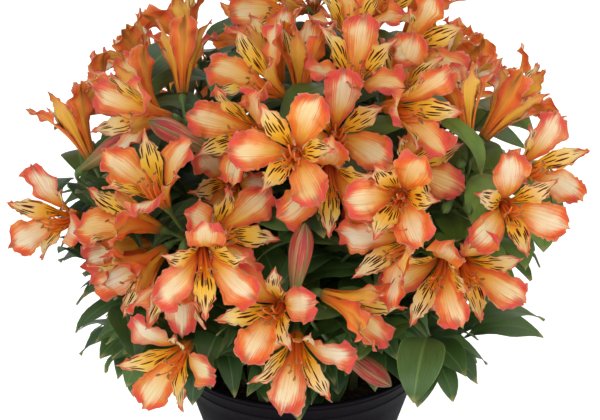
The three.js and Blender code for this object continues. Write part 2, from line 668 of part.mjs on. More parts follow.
// Each open bloom is turned about its own axis until it presses well into the blooms before it or is
// clear of them.
const openBlooms = [];
blooms.filter(bloom => bloom.open > BUD.belowOpenness).forEach(bloom => {
  const tries = ROLLS.map(turn => {
    const turned = { ...bloom, roll: bloom.roll + turn };
    turned.solid = bloomSolid(turned);
    const shared = openBlooms.map(other => crossing(turned.solid, [other.solid]));
    const firm = shared.some(volume => volume >= FIRM_CROSSING);
    const grazes = shared.filter(volume => volume > CROSSING && volume < FIRM_CROSSING).length;
    turned.cost = grazes + (firm ? 0 : LOOSE_COST);
    return turned;
  });
  const least = Math.min(...tries.map(turned => turned.cost));
  Object.assign(bloom, tries.find(turned => turned.cost === least));
  openBlooms.push(bloom);
});

const sumOf = places => places.reduce((sum, place) => sum.add(place), vec(0, 0, 0));
const middleOf = places => sumOf(places).divideScalar(places.length);
const rootOf = head => vec(head.x * STEM.drawnIn, head.y * STEM.drawnIn, SOIL.top - SOIL.holeDepth);
const floweringShoots = Object.keys(UMBELS).map((umbel, u) => {
  const members = blooms.filter(bloom => bloom.umbel === umbel);
  const middle = middleOf(members.map(bloom => bloom.base));
  const outward = middle.clone().sub(HEART).normalize();
  const head = middle.addScaledVector(outward, -UMBEL_DEPTH);
  const straight = head.z < STEM.archesBelow ? STEM.archingRise : STEM.rise;
  const plan = FLOWERING_LEAVES;
  return { name: `shoot_${umbel}`, members, outward, head, root: rootOf(head), straight, seed: u + 1, plan };
});
const leafyShoots = Object.entries(LEAFY_CLUMPS).flatMap(([name, tips], n) => {
  const heads = tips.map(placeOf);
  const middle = middleOf(heads);
  return heads.map((head, i) => {
    const outward = vec(head.x, head.y, 0).normalize().addScaledVector(UP, -STEM.leafyNod).normalize();
    const apart = head.clone().sub(middle).setLength(heads.length > 1 ? STEM.rootsApart : 0);
    const root = rootOf(middle).add(apart);
    const straight = STEM.archingRise;
    const seed = LEAFY_SEED + 2 * n + i;
    const plan = LEAFY_LEAVES;
    return { name: `shoot_${name}`, members: [], outward, head, root, straight, seed, plan };
  });
});
const shoots = [...floweringShoots, ...leafyShoots];

// The plant: stems, then stalks, then leaves, each bent clear of what is there already
const pot = potSolid();
const petals = openBlooms.map(bloom => bloom.solid);
shoots.forEach(shoot => {
  const apart = shoots.filter(other => other.green && other.name !== shoot.name);
  const others = [pot, ...petals, ...apart.map(other => other.green)];
  const bends = shoot.plan === LEAFY_LEAVES ? STEM_BENDS.filter(({ step }) => step === 0) : STEM_BENDS;
  const { variant } = clearest(bends, bend => stemSolid(stemCurve(shoot, bend), CLEARANCE), others);
  shoot.curve = stemCurve(shoot, variant);
  shoot.green = stemSolid(shoot.curve);
});
const soil = soilSolid(shoots);
shoots.forEach(shoot => shoot.members.forEach(bloom => {
  const others = [pot, soil, ...petals, ...shoots.filter(other => other !== shoot).map(other => other.green)];
  const { variant } = clearest(STALK_BENDS, bend => stalkSolid(shoot, bloom, bend, CLEARANCE), others);
  shoot.green = shoot.green.add(stalkSolid(shoot, bloom, variant));
  if (!bloom.solid) shoot.green = shoot.green.add(budSolid(bloom));
}));
shoots.forEach(shoot => {
  const others = [pot, soil, ...petals, ...shoots.filter(other => other !== shoot).map(other => other.green)];
  for (let i = 0; i < shoot.plan.count; i++) {
    const best = clearest(LEAF_TURNS, turn => leafSolid(leafOf(shoot, i, turn), CLEARANCE), others);
    if (best.volume > CROSSING) continue;
    others.push(leafSolid(leafOf(shoot, i, best.variant), CLEARANCE));
    shoot.green = shoot.green.add(leafSolid(leafOf(shoot, i, best.variant)));
  }
});

// Blooms that cross are fused into one body.
const bunches = [];
openBlooms.forEach(bloom => {
  const bunch = { names: [bloom.name], solid: bloom.solid };
  bunches.filter(other => crossing(bloom.solid, [other.solid]) > CROSSING).forEach(other => {
    bunch.names.unshift(...other.names);
    bunch.solid = bunch.solid.add(other.solid);
    bunches.splice(bunches.indexOf(other), 1);
  });
  bunches.push(bunch);
});

const plant = new THREE.Group();
function addMesh(name, solid, look) {
  const material = new THREE.MeshStandardMaterial({ color: COLOURS[look], roughness: ROUGHNESS[look] });
  const mesh = new THREE.Mesh(geometryOf(mainBody(solid)), material);
  mesh.name = name;
  plant.add(mesh);
}
addMesh('pot', pot, 'pot');
addMesh('soil', soil, 'soil');
new Set(shoots.map(shoot => shoot.name)).forEach(name => {
  const clump = shoots.filter(shoot => shoot.name === name).map(shoot => shoot.green);
  addMesh(name, clump.reduce((a, b) => a.add(b)), 'shoot');
});
bunches.forEach(bunch => addMesh(`bloom_${bunch.names[0]}`, bunch.solid, 'bloom'));

export default plant;
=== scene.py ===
"""A potted Peruvian lily: petals, stamens, stalks, leaves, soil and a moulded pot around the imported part."""

import math
from functools import lru_cache
from types import SimpleNamespace

import bpy
import numpy as np
from bpy.props import FloatProperty, FloatVectorProperty, IntProperty, PointerProperty
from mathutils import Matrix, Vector
from mathutils.bvhtree import BVHTree
from mathutils.kdtree import KDTree


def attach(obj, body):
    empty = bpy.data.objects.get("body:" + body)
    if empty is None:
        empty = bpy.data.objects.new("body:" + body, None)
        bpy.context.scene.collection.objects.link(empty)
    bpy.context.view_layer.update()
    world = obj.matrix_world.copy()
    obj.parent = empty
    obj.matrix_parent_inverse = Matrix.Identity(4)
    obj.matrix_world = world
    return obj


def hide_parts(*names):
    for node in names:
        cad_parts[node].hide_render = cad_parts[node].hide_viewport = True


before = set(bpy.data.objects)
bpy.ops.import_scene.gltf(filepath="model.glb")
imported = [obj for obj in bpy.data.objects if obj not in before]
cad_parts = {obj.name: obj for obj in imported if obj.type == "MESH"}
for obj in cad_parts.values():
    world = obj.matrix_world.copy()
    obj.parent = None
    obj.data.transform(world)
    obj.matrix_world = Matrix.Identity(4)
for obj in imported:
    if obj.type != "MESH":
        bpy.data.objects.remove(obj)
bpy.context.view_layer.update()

bl_info = {
    "name": "Potted Peruvian lily",
    "version": (1, 0, 0),
    "blender": (4, 5, 0),
    "location": "3D View > Sidebar > Lily",
    "description": "Dresses the packed pot plant with petals, stamens, leaves, soil and a moulded pot",
    "category": "Object",
}

# The plant's layout, in millimetres and degrees, as the part's source has it.
POT_HEIGHT = 120.0
POT_RIM_RADIUS = 88.0
POT_RIM_DEPTH = 1.2
POT_BASE_RADIUS = 48.0
POT_WALL = 2.2
POT_COLLAR_HEIGHT = 17.0
POT_COLLAR_OUT = 2.4
POT_FOOT_WIDTH = 6.0
POT_FOOT_HEIGHT = 1.5
POT_BOSS_RADIUS = 18.0
DRAIN_HOLE_RADIUS = 4.0
DRAIN_HOLE_RING = 32.0
SOIL_TOP = 106.0
SOIL_MOUND = 5.0
SOIL_HOLE_DEPTH = 12.0
GAP = 0.3
DOME_CENTRE = np.array((0.0, 0.0, 222.0))
DOME_RADII = np.array((166.0, 148.0, 124.0))
EYE_ELEVATION = 25.0
EYE_DISTANCE = 1100.0
EYE_TARGET = np.array((0.0, 0.0, 215.0))
HEART = np.array((0.0, 0.0, 150.0))

OUTER_TEPAL = SimpleNamespace(
    length=52.0, half_width=10.8, cup=0.1, wave=0.12, rows=((0.24, 0.27), (0.64, 1.0), (0.88, 0.78)),
    shut=18.0, turn=66.0,
)
INNER_TEPAL = SimpleNamespace(
    length=49.0, half_width=6.2, cup=0.16, wave=0.06, rows=((0.62, 1.0),), shut=14.0, turn=46.0,
)
TEPAL_FIRST_ANGLE = 6.0
TEPAL_SHARE_SHUT = 0.46
TEPAL_SHARE_PER_OPEN = 0.92
TEPAL_VARIES_LENGTH = 0.06
TEPAL_VARIES_TURN = 8.0
TUBE_RADIUS = 2.8
MOUTH_SHUT = 35.0
MOUTH_PER_OPEN = -19.0
CROWD_RADIUS = 23.0
CROWD_PER_OPEN = 11.0
CROWD_CLOSENESS = 0.62
CROWD_SHARE = 0.3
CROWD_ROUNDS = 30
CROWD_MOST = 26.0
STALK_RADIUS = 1.1
STALK_SUNK = 1.5
STALK_APART = 1.2
OVARY_LENGTH = 9.0
OVARY_RADIUS = 2.9
BUD_LENGTH = 42.0
BUD_RADIUS = 6.6
BUD_BELOW_OPENNESS = 0.2
UMBEL_DEPTH = 24.0
STEM_RADIUS = 2.4
STEM_TIP_RADIUS = 1.8
STEM_TURNS = (0.4, 0.7, 1.0)
STEM_DRAWN_IN = 0.38
STEM_RISE = 0.4
STEM_ARCHING_RISE = 0.8
STEM_ARCHES_BELOW = 165.0
STEM_LEAFY_NOD = 0.3
STEM_ROOTS_APART = 1.5
LEAF_FOLD = 0.16
LEAF_VARIES = SimpleNamespace(pitch=20, droop=30, length=0.3, width=0.2)
GOLDEN_ANGLE = 137.5
SEED_ANGLE = 50.0
LEAFY_SEED = 40
FLOWERING_LEAVES = SimpleNamespace(
    count=6, start=0.32, end=0.97, length=64.0, half_width=9.0, pitch=25.0, droop=55.0,
    rows=((0.25, 0.8), (0.62, 0.96)),
)
LEAFY_LEAVES = SimpleNamespace(
    count=6, start=0.48, end=0.99, length=50.0, half_width=13.0, pitch=10.0, droop=75.0,
    rows=((0.14, 0.46), (0.45, 1.0), (0.78, 0.68)),
)
SIDES = {"front": 0, "right": 90, "back": 180, "left": 270}

# Each umbel's blooms as seen from its side: right and up from the middle of the view, in front of the
# dome, looking right and up, the first outer tepal's direction, how far open, and if it looks away.
UMBELS = {
    "left_front": ("front", (
        (-114, -4, 4, -0.8, 0.3, 90, 0.62), (-118, -25, -10, -0.92, -0.08, 75, 0.5),
        (-105, -41, 4, -0.62, -0.6, 60, 0.62), (-81, -54, 0, -0.12, -0.88, 30, 0.45),
        (-62, -34, 24, 0.1, -0.4, 90, 0.8), (-49, -14, -4, 0.45, 0.1, 50, 0.8),
        (-95, 17, 6, -0.25, 0.55, 40, 0.72))),
    "left": ("front", (
        (-158, -4, 0, -0.5, 0, 100, 0.8), (-148, 60, -10, -0.42, 0.9, 60, 0.36, "away"),
        (-114, 45, 4, 0.8, 0.5, 0, 0.12))),
    "upper_left": ("front", (
        (-109, 84, 0, -0.58, 0.8, 40, 0.4), (-77, 104, -20, -0.03, 0.98, 90, 0.36, "away"),
        (-105, 62, 10, -0.8, 0.05, 30, 0.7), (-90, 54, 20, -0.85, 0.42, 0, 0.12))),
    "middle_left": ("front", (
        (-25, 86, 0, -0.6, 0.45, 60, 0.8), (-38, 52, 4, -0.55, 0, 40, 0.7),
        (-5, 38, 12, -0.15, 0.02, 60, 0.95), (-46, 15, -30, -0.1, -0.2, 90, 0.55))),
    "middle_top": ("front", (
        (-19, 108, -6, -0.2, 0.93, 90, 0.5), (1, 104, 12, 0.03, 0.97, 60, 0.36),
        (36, 90, 6, 0.05, 0.5, 80, 0.8))),
    "centre": ("front", (
        (24, 51, 16, 0.1, 0.1, 100, 0.95), (19, 20, 10, 0, -0.5, 90, 0.9))),
    "top": ("front", (
        (-12, 132, 0, -0.7, 0, 60, 0.8), (9, 140, -30, 0, 0.6, 90, 0.9),
        (34, 122, 0, 0.02, 0.7, 90, 0.75), (54, 132, -10, 0.35, 0.5, 70, 0.8))),
    "upper_right": ("front", (
        (81, 136, -20, 0.45, 0.88, 30, 0.4), (75, 107, 6, 0.6, 0.15, 80, 0.85),
        (66, 83, -10, 0.25, 0.65, 70, 0.6), (72, 66, 4, 0.65, -0.1, 60, 0.7))),
    "right": ("front", (
        (106, 78, 0, -0.12, 0.98, 40, 0.42), (136, 68, -10, 0.62, 0.77, 30, 0.42, "away"),
        (152, 29, 0, 0.5, 0.2, 70, 0.85), (137, 2, 10, 0.15, -0.1, 100, 0.9))),
    "middle_right": ("front", (
        (73, 29, -24, 0.45, 0.1, 80, 0.75), (64, 8, 18, -0.15, -0.1, 60, 0.6))),
    "lower_right": ("front", (
        (89, -41, 8, -0.3, -0.45, 60, 0.8), (111, -39, 2, 0.25, -0.35, 90, 0.85),
        (62, -24, 0, -0.7, -0.35, 30, 0.7), (55, -4, -6, -0.85, 0, 70, 0.5))),
    "lower_middle": ("front", (
        (40, -64, 10, 0.85, -0.3, 60, 0.5), (-18, -64, 8, -0.3, -0.05, 105, 0.88),
        (-2, -92, 14, 0.02, -0.5, 40, 0.9), (52, -109, 14, 0.78, -0.55, 0, 0.12),
        (2, -18, 8, 0.15, 0.95, 0, 0.12))),
    "lower_left": ("front", ((-81, -95, 14, -0.4, -0.35, 95, 0.95),)),
    "far_left": ("left", ((-22, 10, 0, -0.1, 0.1, 80, 0.85), (-58, 40, -10, -0.2, 0.3, 30, 0.8))),
    "far_right": ("right", ((16, 6, -6, 0.1, 0, 80, 0.85), (52, 36, -12, 0.2, 0.3, 40, 0.8))),
    "back_left": ("back", (
        (-128, 10, 0, -0.6, 0, 90, 0.85), (-96, -28, 0, -0.3, -0.45, 60, 0.8),
        (-100, 42, 0, -0.4, 0.5, 30, 0.75))),
    "back_right": ("back", (
        (122, 22, 0, 0.6, 0.2, 70, 0.85), (92, -22, 0, 0.25, -0.4, 90, 0.85),
        (88, 66, 0, 0.45, 0.6, 30, 0.7))),
    "back_middle": ("back", (
        (-34, 34, 4, -0.2, 0.15, 80, 0.9), (36, 18, 4, 0.2, -0.1, 100, 0.9),
        (4, -28, 0, 0, -0.5, 60, 0.8))),
    "back_top": ("back", ((-34, 84, 4, -0.35, 0.65, 60, 0.8), (28, 84, 4, 0.25, 0.65, 90, 0.85))),
}
# Flower stalks of an umbel whose petals have dropped, by the place of their tips in the same view.
SPENT = {"shoot_right": ((93, -2, -14), (110, -3, -6), (104, 31, -10), (117, 46, -8))}
# Shoots without flowers that rise from one root, by the places of their tips.
LEAFY_CLUMPS = {
    "leafy_right": (("front", 84, -84, 4), ("front", 112, -66, -20)),
    "leafy_left": (("front", -54, -96, 6), ("front", -118, -62, -20)),
    "leafy_middle": (("front", -22, -98, -24),),
    "leafy_side_left": (("left", 10, -60, -10),),
    "leafy_side_right": (("right", 10, -70, -10),),
    "leafy_back": (("back", -64, -80, 0), ("back", 56, -84, 0)),
}

# What the part's source tried for each stem, stalk, leaf and bloom, in its order.
STEM_BENDS = [
    (step, lean, rise, tail)
    for step in (0, 9, -9)
    for lean in (0, 14, -14, 28, -28, 44, -44, 60, -60)
    for rise in (0, 0.2, -0.2)
    for tail in (0.35, 0.15, 0.6)
]
STALK_BENDS = [
    (aside, swing, arrival, depart)
    for aside in (0, 8, 16, 26)
    for swing in ((0, 60, 120, 180, 240, 300) if aside else (0,))
    for arrival in (18, 12, 26)
    for depart in (9, 16)
]
LEAF_TURNS = [(lift, turn) for lift in (0, 18, -18) for turn in (0, 30, -30, 60, -60, 90, -90, 130, -130)]
BLOOM_ROLLS = (0, 5, -5, 10, -10, 15, -15, 20, -20, 25, -25, 30)
LEAF_FOUND_WITHIN = 0.35

# The leaves, bracts and sprigs that the solids leave out. "more" is how much a measure varies.
LEAF_SIZES = (1.0, 0.8, 0.62)
LEAF_ABOVE_SOIL = 8
LEAF_NEIGHBOURS_WITHIN = 75
LEAF_REACH = 1.0
HIGH_LEAF = 225
ADDED_LEAVES = SimpleNamespace(
    leafy_from=0.3, flowering_from=0.14, up_to=0.97, step_more=0.4, broad_below=0.45,
    pitch=28, pitch_more=24, low_pitch=20, low_below=0.4, droop=58, droop_more=30,
    length=0.8, length_more=0.35, half=0.85, half_more=0.3, shaded_below=0.5, shade=0.15,
)
BROAD_ADDED = SimpleNamespace(length=50, half=12.0)
NARROW_ADDED = SimpleNamespace(length=58, half=8.8)
BRACTS = SimpleNamespace(
    count=7, start=0.97, step_more=0.03, turn_more=40, pitch=35, pitch_more=30, droop=40, droop_more=30,
    length=17, length_more=15, half=2.4, half_more=1.6, tone=0.4, tone_more=0.25,
)
SPRIG_LEAVES = SimpleNamespace(
    count=10, up_to=0.99, pitch=14, pitch_more=30, droop=60, droop_more=30,
    length=58, half=11.5, size=0.8, size_more=0.35, broad_above=0.6, young_after=6, young=0.1,
)
SPRIG_RADIUS = 1.6
SPRIG_TIP_RADIUS = 1.1
SPRIG_SUNK = 4
SPRIG_CLEAR_BY = 1.5
SPRIG_TESTED_FROM = 0.2
SPRIG_TESTS = 12
DOME_SPRIGS = SimpleNamespace(
    count=38, low=-0.25, rise=1.2, first=20, depths=(0.9, 0.84, 0.78, 0.7, 0.62),
    leans=(0, 16, -16, 32, -32), drawn_in=0.3, straight=0.5, arrival=0.35, leaves_from=0.5,
    tone=0.12, tone_more=0.15,
)
RIM_SPRIGS = SimpleNamespace(
    seed=200, count=11, first=-35, span=250, turn_more=14, reaches=(106, 98, 90, 82), reach_more=12,
    roots=66, height=126, height_more=26, straight=40, arrival=26, arrival_above=6, leaves_from=0.4,
    tone=0.2, tone_more=0.2,
)
SIDE_SPRIGS = SimpleNamespace(
    seed=300, tips=((-130, -22, -34), (-121, -56, -26), (-98, -82, -20)), steps=(0, 10, -10, 20, -20),
    drawn_in=0.4, straight=60, arrival=40, arrival_above=8, first=100, turn=50, leaves_from=0.5, tone=0.22,
)
PROXY_SHARES = (0.12, 0.3, 0.5, 0.75, 1.0)

# The materials' places in the lists of the blooms and of the shoots.
OUTER_LOOKS, INNER_LOOKS, FILAMENT_LOOK, ANTHER_LOOK = (0, 1), (2, 3), 4, 5
STEM_LOOK, LEAF_LOOKS, STALK_LOOK, BUD_LOOK = 0, (1, 2), 3, 4

# How finely the pieces are cut, and shapes that only this script gives them.
SPINE_STEPS = 160
TEPAL_FOOT = 0.3
TEPAL_TIP = SimpleNamespace(
    inner_slope=0.05, reach=0.96, drop=0.09, roundness=1.9, nib=0.04, nib_width=0.08, dip=0.02,
    dip_width=0.34, wave=0.016, beats=11,
)
TEPAL_KEEL_DEPTH = 0.45
TEPAL_KEEL_WIDTH = 0.16
TEPAL_CUPPED_MORE = 1.5
RUFFLE = SimpleNamespace(
    start=0.3, full=0.75, inner=0.5, at_edge=1.6, beats=2.2, beats_more=1.3, quick_beats=6.3, quick=0.35,
)
CRIMP = SimpleNamespace(start=0.72, inner=0.4, folds=4.6)
NICKS_AT_EDGE = 5
# Blooms look older whose bases are low, or far to either side.
OLDER = SimpleNamespace(low=(215, 150), low_by=0.25, beside=(60, 120), beside_by=0.1, start=-0.08)
# The fleshy cone in a bloom's throat, the stamens and the style.
THROAT_HEIGHTS = (0.0, 0.4, 0.9, 1.4, 1.8, 2.0)
THROAT_RADII = (3.2, 3.3, 3.1, 2.3, 1.3, 0.3)
THROAT_SIDES = 12
STAMENS = 7
STYLE_THICKER = 1.1
FILAMENT_RADII = (0.95, 0.42)
FILAMENT_ROWS = 8
FILAMENT_SIDES = 5
ANTHER_HALF = 1.6
ANTHER_RADII = (0.12, 0.6)
ANTHER_ROWS = 6
ANTHER_SIDES = 6
# Leaves, stems, ovaries and buds.
LEAF_RIB_DEPTH = 0.12
LEAF_RIB_BEATS = 17
LEAF_KEEL_DEPTH = 0.45
LEAF_KEEL_WIDTH = 0.1
LEAF_BENDS_ASIDE = 0.12
STEM_ROWS = 24
STEM_SIDES = 10
POINTED_FROM = 0.9
OVARY_SIDES = 18
OVARY_RIBS = 6
OVARY_RIB_DEPTH = 0.16
BUD_SIDES = 30
BUD_ROWS = 26
# Edges sharper than these, in degrees, aren't smoothed.
POT_SHARP = 35
PLANT_SHARP = 60
SOIL_SHARP = 80
# The pot and its soil.
POT_SIDES = 144
POT_BEADS = (3.2, POT_COLLAR_HEIGHT - 4.4)
BEAD_OUTLINE = ((-1.1, 0), (-0.6, 0.7), (0, 1), (0.6, 0.7), (1.1, 0))
DRAIN_HOLES = 4
SOIL_SIDES = 96
SOIL_RINGS = 26
SOIL_EDGE = SOIL_TOP - 6
SOIL_DISH = 4
SOIL_ROUGHNESS = 0.55
CRUMB = SimpleNamespace(rings=6, sides=7, size=0.8, size_more=2.0, longer=2.2, lumps=0.75, lumps_more=0.5)
# The stage in metres, with each light's place and width, and the camera's sensor in millimetres.
FLOOR_REACH = 3.0
KEY_LIGHT = ((-0.6, -1.5, 1.25), 1.1)
FILL_LIGHT = ((1.2, -1.2, 0.6), 1.2)
RIM_LIGHT = ((0.3, 1.4, 1.2), 1.3)
SKY_COLOUR = (1.0, 1.0, 0.99, 1)
SENSOR_WIDTH = 36.0
# How far a piece's tone moves its noise across and along, so that no two are alike.
TONE_SHIFTS = (37.0, 91.0)

DEG = math.pi / 180
UP = np.array((0.0, 0.0, 1.0))
MM = 0.001


def unit(vector):
    return vector / np.linalg.norm(vector)


def chance(n):
    """A repeatable number from 0 to 1 for each n."""
    s = math.sin(n * 12.9898) * 43758.5453
    return s - math.floor(s)


def spun(vector, axis, angle):
    """The vector turned about an axis by an angle in radians."""
    cos, sin = math.cos(angle), math.sin(angle)
    return vector * cos + np.cross(axis, vector) * sin + axis * (axis @ vector) * (1 - cos)


def eased(value, low, high):
    """0 below low, 1 above high, and smooth between."""
    t = np.clip((value - low) / (high - low), 0, 1)
    return t * t * (3 - 2 * t)


def profile(*stops):
    """A smooth function through (place, value) pairs."""
    places, values = np.array(stops, float).T
    slopes = np.gradient(values, places)
    fine = np.linspace(places[0], places[-1], 120)
    i = np.clip(np.searchsorted(places, fine, "right") - 1, 0, len(places) - 2)
    width = places[i + 1] - places[i]
    t = (fine - places[i]) / width
    curve = (
        (1 + 2 * t) * (1 - t) ** 2 * values[i] + t * (1 - t) ** 2 * width * slopes[i]
        + t * t * (3 - 2 * t) * values[i + 1] + t * t * (t - 1) * width * slopes[i + 1]
    )
    return lambda place: np.interp(place, fine, curve)


# Where things are, from how they are seen
def view_of(side):
    angle = SIDES[side] * DEG
    sin, cos = math.sin(EYE_ELEVATION * DEG), math.cos(EYE_ELEVATION * DEG)
    axes = (np.array((1.0, 0, 0)), np.array((0, sin, cos)), np.array((0, -cos, sin)))
    return [spun(axis, UP, angle) for axis in axes]


def eye_of(side):
    return EYE_TARGET + view_of(side)[2] * EYE_DISTANCE


def place_of(side, x, y, lift):
    right, up, _ = view_of(side)
    eye = eye_of(side)
    ray = unit(EYE_TARGET + right * x + up * y - eye)
    start = (eye - DOME_CENTRE) / DOME_RADII
    step = ray / DOME_RADII
    a, b, c = step @ step, step @ start, start @ start - 1
    reach = (-b - math.sqrt(max(0.0, b * b - a * c))) / a
    return eye + ray * (reach - lift)


def facing_of(side, x, y, away):
    right, up, towards = view_of(side)
    depth = math.sqrt(max(0.0, 1 - x * x - y * y)) * (-1 if away else 1)
    return unit(right * x + up * y + towards * depth)


def spread_apart(blooms):
    """Blooms that crowd each other are moved apart along their lines of sight, as in the source."""
    for bloom in blooms:
        bloom.reach = CROWD_RADIUS + CROWD_PER_OPEN * bloom.open
        bloom.towards = unit(eye_of(bloom.side) - bloom.place)
        bloom.moved = 0.0
    for _ in range(CROWD_ROUNDS):
        for i, a in enumerate(blooms):
            for b in blooms[i + 1:]:
                between = b.place - a.place
                short = (a.reach + b.reach) * CROWD_CLOSENESS - np.linalg.norm(between)
                if short <= 0:
                    continue
                for one, way in ((a, -1), (b, 1)):
                    ahead = (between @ one.towards) * way
                    step = (1 if ahead >= 0 else -1) * short * CROWD_SHARE
                    moved = min(CROWD_MOST, max(-CROWD_MOST, one.moved + step))
                    one.place = one.place + one.towards * (moved - one.moved)
                    one.moved = moved


class Bend:
    """A cubic curve that is walked by shares of its length."""

    steps = np.linspace(0, 1, 201)

    def __init__(self, *controls):
        self.controls = np.array(controls)
        pieces = np.linalg.norm(np.diff(self.at(self.steps), axis=0), axis=1)
        self.lengths = np.concatenate([[0], np.cumsum(pieces)])
        self.length = self.lengths[-1]

    def at(self, t):
        t = np.asarray(t, float)[..., None]
        a, b, c, d = self.controls
        return (1 - t) ** 3 * a + 3 * (1 - t) ** 2 * t * b + 3 * (1 - t) * t * t * c + t ** 3 * d

    def share(self, u):
        return np.interp(np.asarray(u) * self.length, self.lengths, self.steps)

    def point(self, u):
        return self.at(self.share(u))

    def tangent(self, u):
        t = self.share(u)
        return unit(self.at(min(1, t + 1e-4)) - self.at(max(0, t - 1e-4)))


def rings_on(curve, stations, sides):
    """The corners of the source's tube with a few flat sides along a curve."""
    start = curve.tangent(stations[0][0])
    across = np.array((0.0, 1.0, 0.0)) if abs(start[0]) > 0.9 else np.array((1.0, 0.0, 0.0))
    rings = []
    for t, radius in stations:
        tangent = curve.tangent(t)
        across = unit(across - tangent * (across @ tangent))
        other = np.cross(tangent, across)
        angles = 2 * math.pi * np.arange(sides) / sides
        spokes = np.outer(np.cos(angles), across) + np.outer(np.sin(angles), other)
        rings.append(curve.point(t) + radius * spokes)
    return rings


class Finder:
    """Says how far points are from the corners of some CAD nodes, in millimetres."""

    def __init__(self, names):
        self.owners = [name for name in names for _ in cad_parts[name].data.vertices]
        self.tree = KDTree(len(self.owners))
        corners = [v.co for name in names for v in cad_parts[name].data.vertices]
        for i, corner in enumerate(corners):
            self.tree.insert(corner, i)
        self.tree.balance()

    def miss(self, points):
        return sum(min(1.0, self.tree.find(Vector(p * MM))[2] / MM) for p in points) / len(points)

    def owner(self, points):
        found = [self.owners[self.tree.find(Vector(p * MM))[1]] for p in points]
        return max(sorted(set(found)), key=found.count)


def best_of(variants, points_of, finder):
    """The variant whose points lie nearest to the CAD corners, and how far they lie on average."""
    scored = [(finder.miss(points_of(variant)), i) for i, variant in enumerate(variants)]
    miss, i = min(scored)
    return variants[i], miss


# The parts of the plant as the source has them
def tepals_of(bloom, roll):
    tepals = []
    for i in range(6):
        size = INNER_TEPAL if i % 2 else OUTER_TEPAL
        vary = chance(bloom.seed * 7 + i) - 0.5
        length = size.length * (1 + TEPAL_VARIES_LENGTH * vary)
        last = size.shut + size.turn * bloom.open + TEPAL_VARIES_TURN * vary
        half = size.half_width * min(1, TEPAL_SHARE_SHUT + TEPAL_SHARE_PER_OPEN * bloom.open)
        tepals.append(SimpleNamespace(
            size=size, length=length, half=half, azimuth=(roll + 60 * i) * DEG,
            first=TEPAL_FIRST_ANGLE * DEG, last=last * DEG, number=i, outer=i % 2 == 0,
        ))
    return tepals


def in_bloom(bloom, azimuth, radius, height, aside):
    """Points of a bloom from their distances along and round its axis."""
    out = bloom.across * math.cos(azimuth) + bloom.upright * math.sin(azimuth)
    beside = bloom.upright * math.cos(azimuth) - bloom.across * math.sin(azimuth)
    return (
        bloom.base + np.multiply.outer(radius, out) + np.multiply.outer(aside, beside)
        + np.multiply.outer(height, bloom.facing)
    )


def tepal_corners(bloom, roll):
    corners = []
    for tepal in tepals_of(bloom, roll):
        bend = (tepal.last - tepal.first) / tepal.length
        spots = [(1.0, 0.0, 0.0)]
        for n, (share, width) in enumerate(tepal.size.rows):
            half = tepal.half * width
            ripple = tepal.size.wave * half * (1 if n % 2 else -1)
            spots += [(share, -half, ripple), (share, half, -ripple)]
        for share, aside, lift in spots:
            angle = tepal.first + bend * share * tepal.length
            radius = TUBE_RADIUS + (math.cos(tepal.first) - math.cos(angle)) / bend - lift * math.cos(angle)
            height = (math.sin(angle) - math.sin(tepal.first)) / bend + lift * math.sin(angle)
            corners.append(in_bloom(bloom, tepal.azimuth, radius, height, aside))
    return corners


def stem_curve(shoot, bend):
    step, lean, rise, tail = bend
    sideways = unit(np.cross(UP, shoot.outward))
    root = shoot.root + sideways * step
    height = np.linalg.norm(shoot.head - root)
    return Bend(
        root,
        root + UP * (shoot.straight + rise) * height,
        shoot.head - shoot.outward * tail * height + sideways * lean,
        shoot.head,
    )


def stem_corners(shoot, bend):
    curve = stem_curve(shoot, bend)
    out_of_soil = (SOIL_HOLE_DEPTH + SOIL_MOUND) / curve.length
    shares = (out_of_soil, *STEM_TURNS[:2])
    stations = [(t, STEM_RADIUS + (STEM_TIP_RADIUS - STEM_RADIUS) * t) for t in shares]
    return np.concatenate(rings_on(curve, [(0, STEM_RADIUS), *stations], 4)[1:])


def stalk_curve(shoot, bloom, bend):
    aside, swing, arrival, depart = bend
    top = bloom.base - bloom.facing * GAP
    sideways = spun(unit(np.cross(UP, shoot.outward)), shoot.outward, swing * DEG) * aside
    towards = top - shoot.head
    level = towards - shoot.outward * (towards @ shoot.outward)
    start = shoot.head - shoot.outward * STALK_SUNK + unit(level) * STALK_APART
    return Bend(start, start + shoot.outward * depart + sideways, top - bloom.facing * arrival, top)


def stalk_corners(shoot, bloom, bend):
    curve = stalk_curve(shoot, bloom, bend)
    ovary = OVARY_LENGTH / curve.length
    return rings_on(curve, [(0, STALK_RADIUS), (1 - ovary, STALK_RADIUS)], 3)[1]


def leaf_of(shoot, number, lift, turn):
    plan = shoot.plan
    vary = chance(shoot.seed * 31 + number)
    share = plan.start + (plan.end - plan.start) * number / (plan.count - 1)
    return SimpleNamespace(
        root=shoot.curve.point(share),
        azimuth=(SEED_ANGLE * shoot.seed + GOLDEN_ANGLE * number + turn) * DEG,
        pitch=(plan.pitch + LEAF_VARIES.pitch * vary + lift) * DEG,
        droop=(plan.droop + LEAF_VARIES.droop * vary) * DEG,
        length=plan.length * (1 + LEAF_VARIES.length * (vary - 0.5)),
        half=plan.half_width * (1 + LEAF_VARIES.width * (vary - 0.5)),
        broad=plan is LEAFY_LEAVES, plan=plan, seed=shoot.seed * 31 + number, tone=shoot.tone,
    )


def on_leaf(leaf, share, aside, lift):
    """Points of a leaf by their share of its length, and off its midrib sideways and upwards."""
    out = np.array((math.cos(leaf.azimuth), math.sin(leaf.azimuth), 0))
    side = np.array((-out[1], out[0], 0))
    bend = leaf.droop / leaf.length
    angle = leaf.pitch - bend * share * leaf.length
    level = (math.sin(leaf.pitch) - np.sin(angle)) / bend - lift * np.sin(angle)
    rise = (np.cos(angle) - math.cos(leaf.pitch)) / bend + lift * np.cos(angle)
    midrib = leaf.root + np.multiply.outer(level, out) + np.multiply.outer(rise, UP)
    return midrib + np.multiply.outer(aside, side)


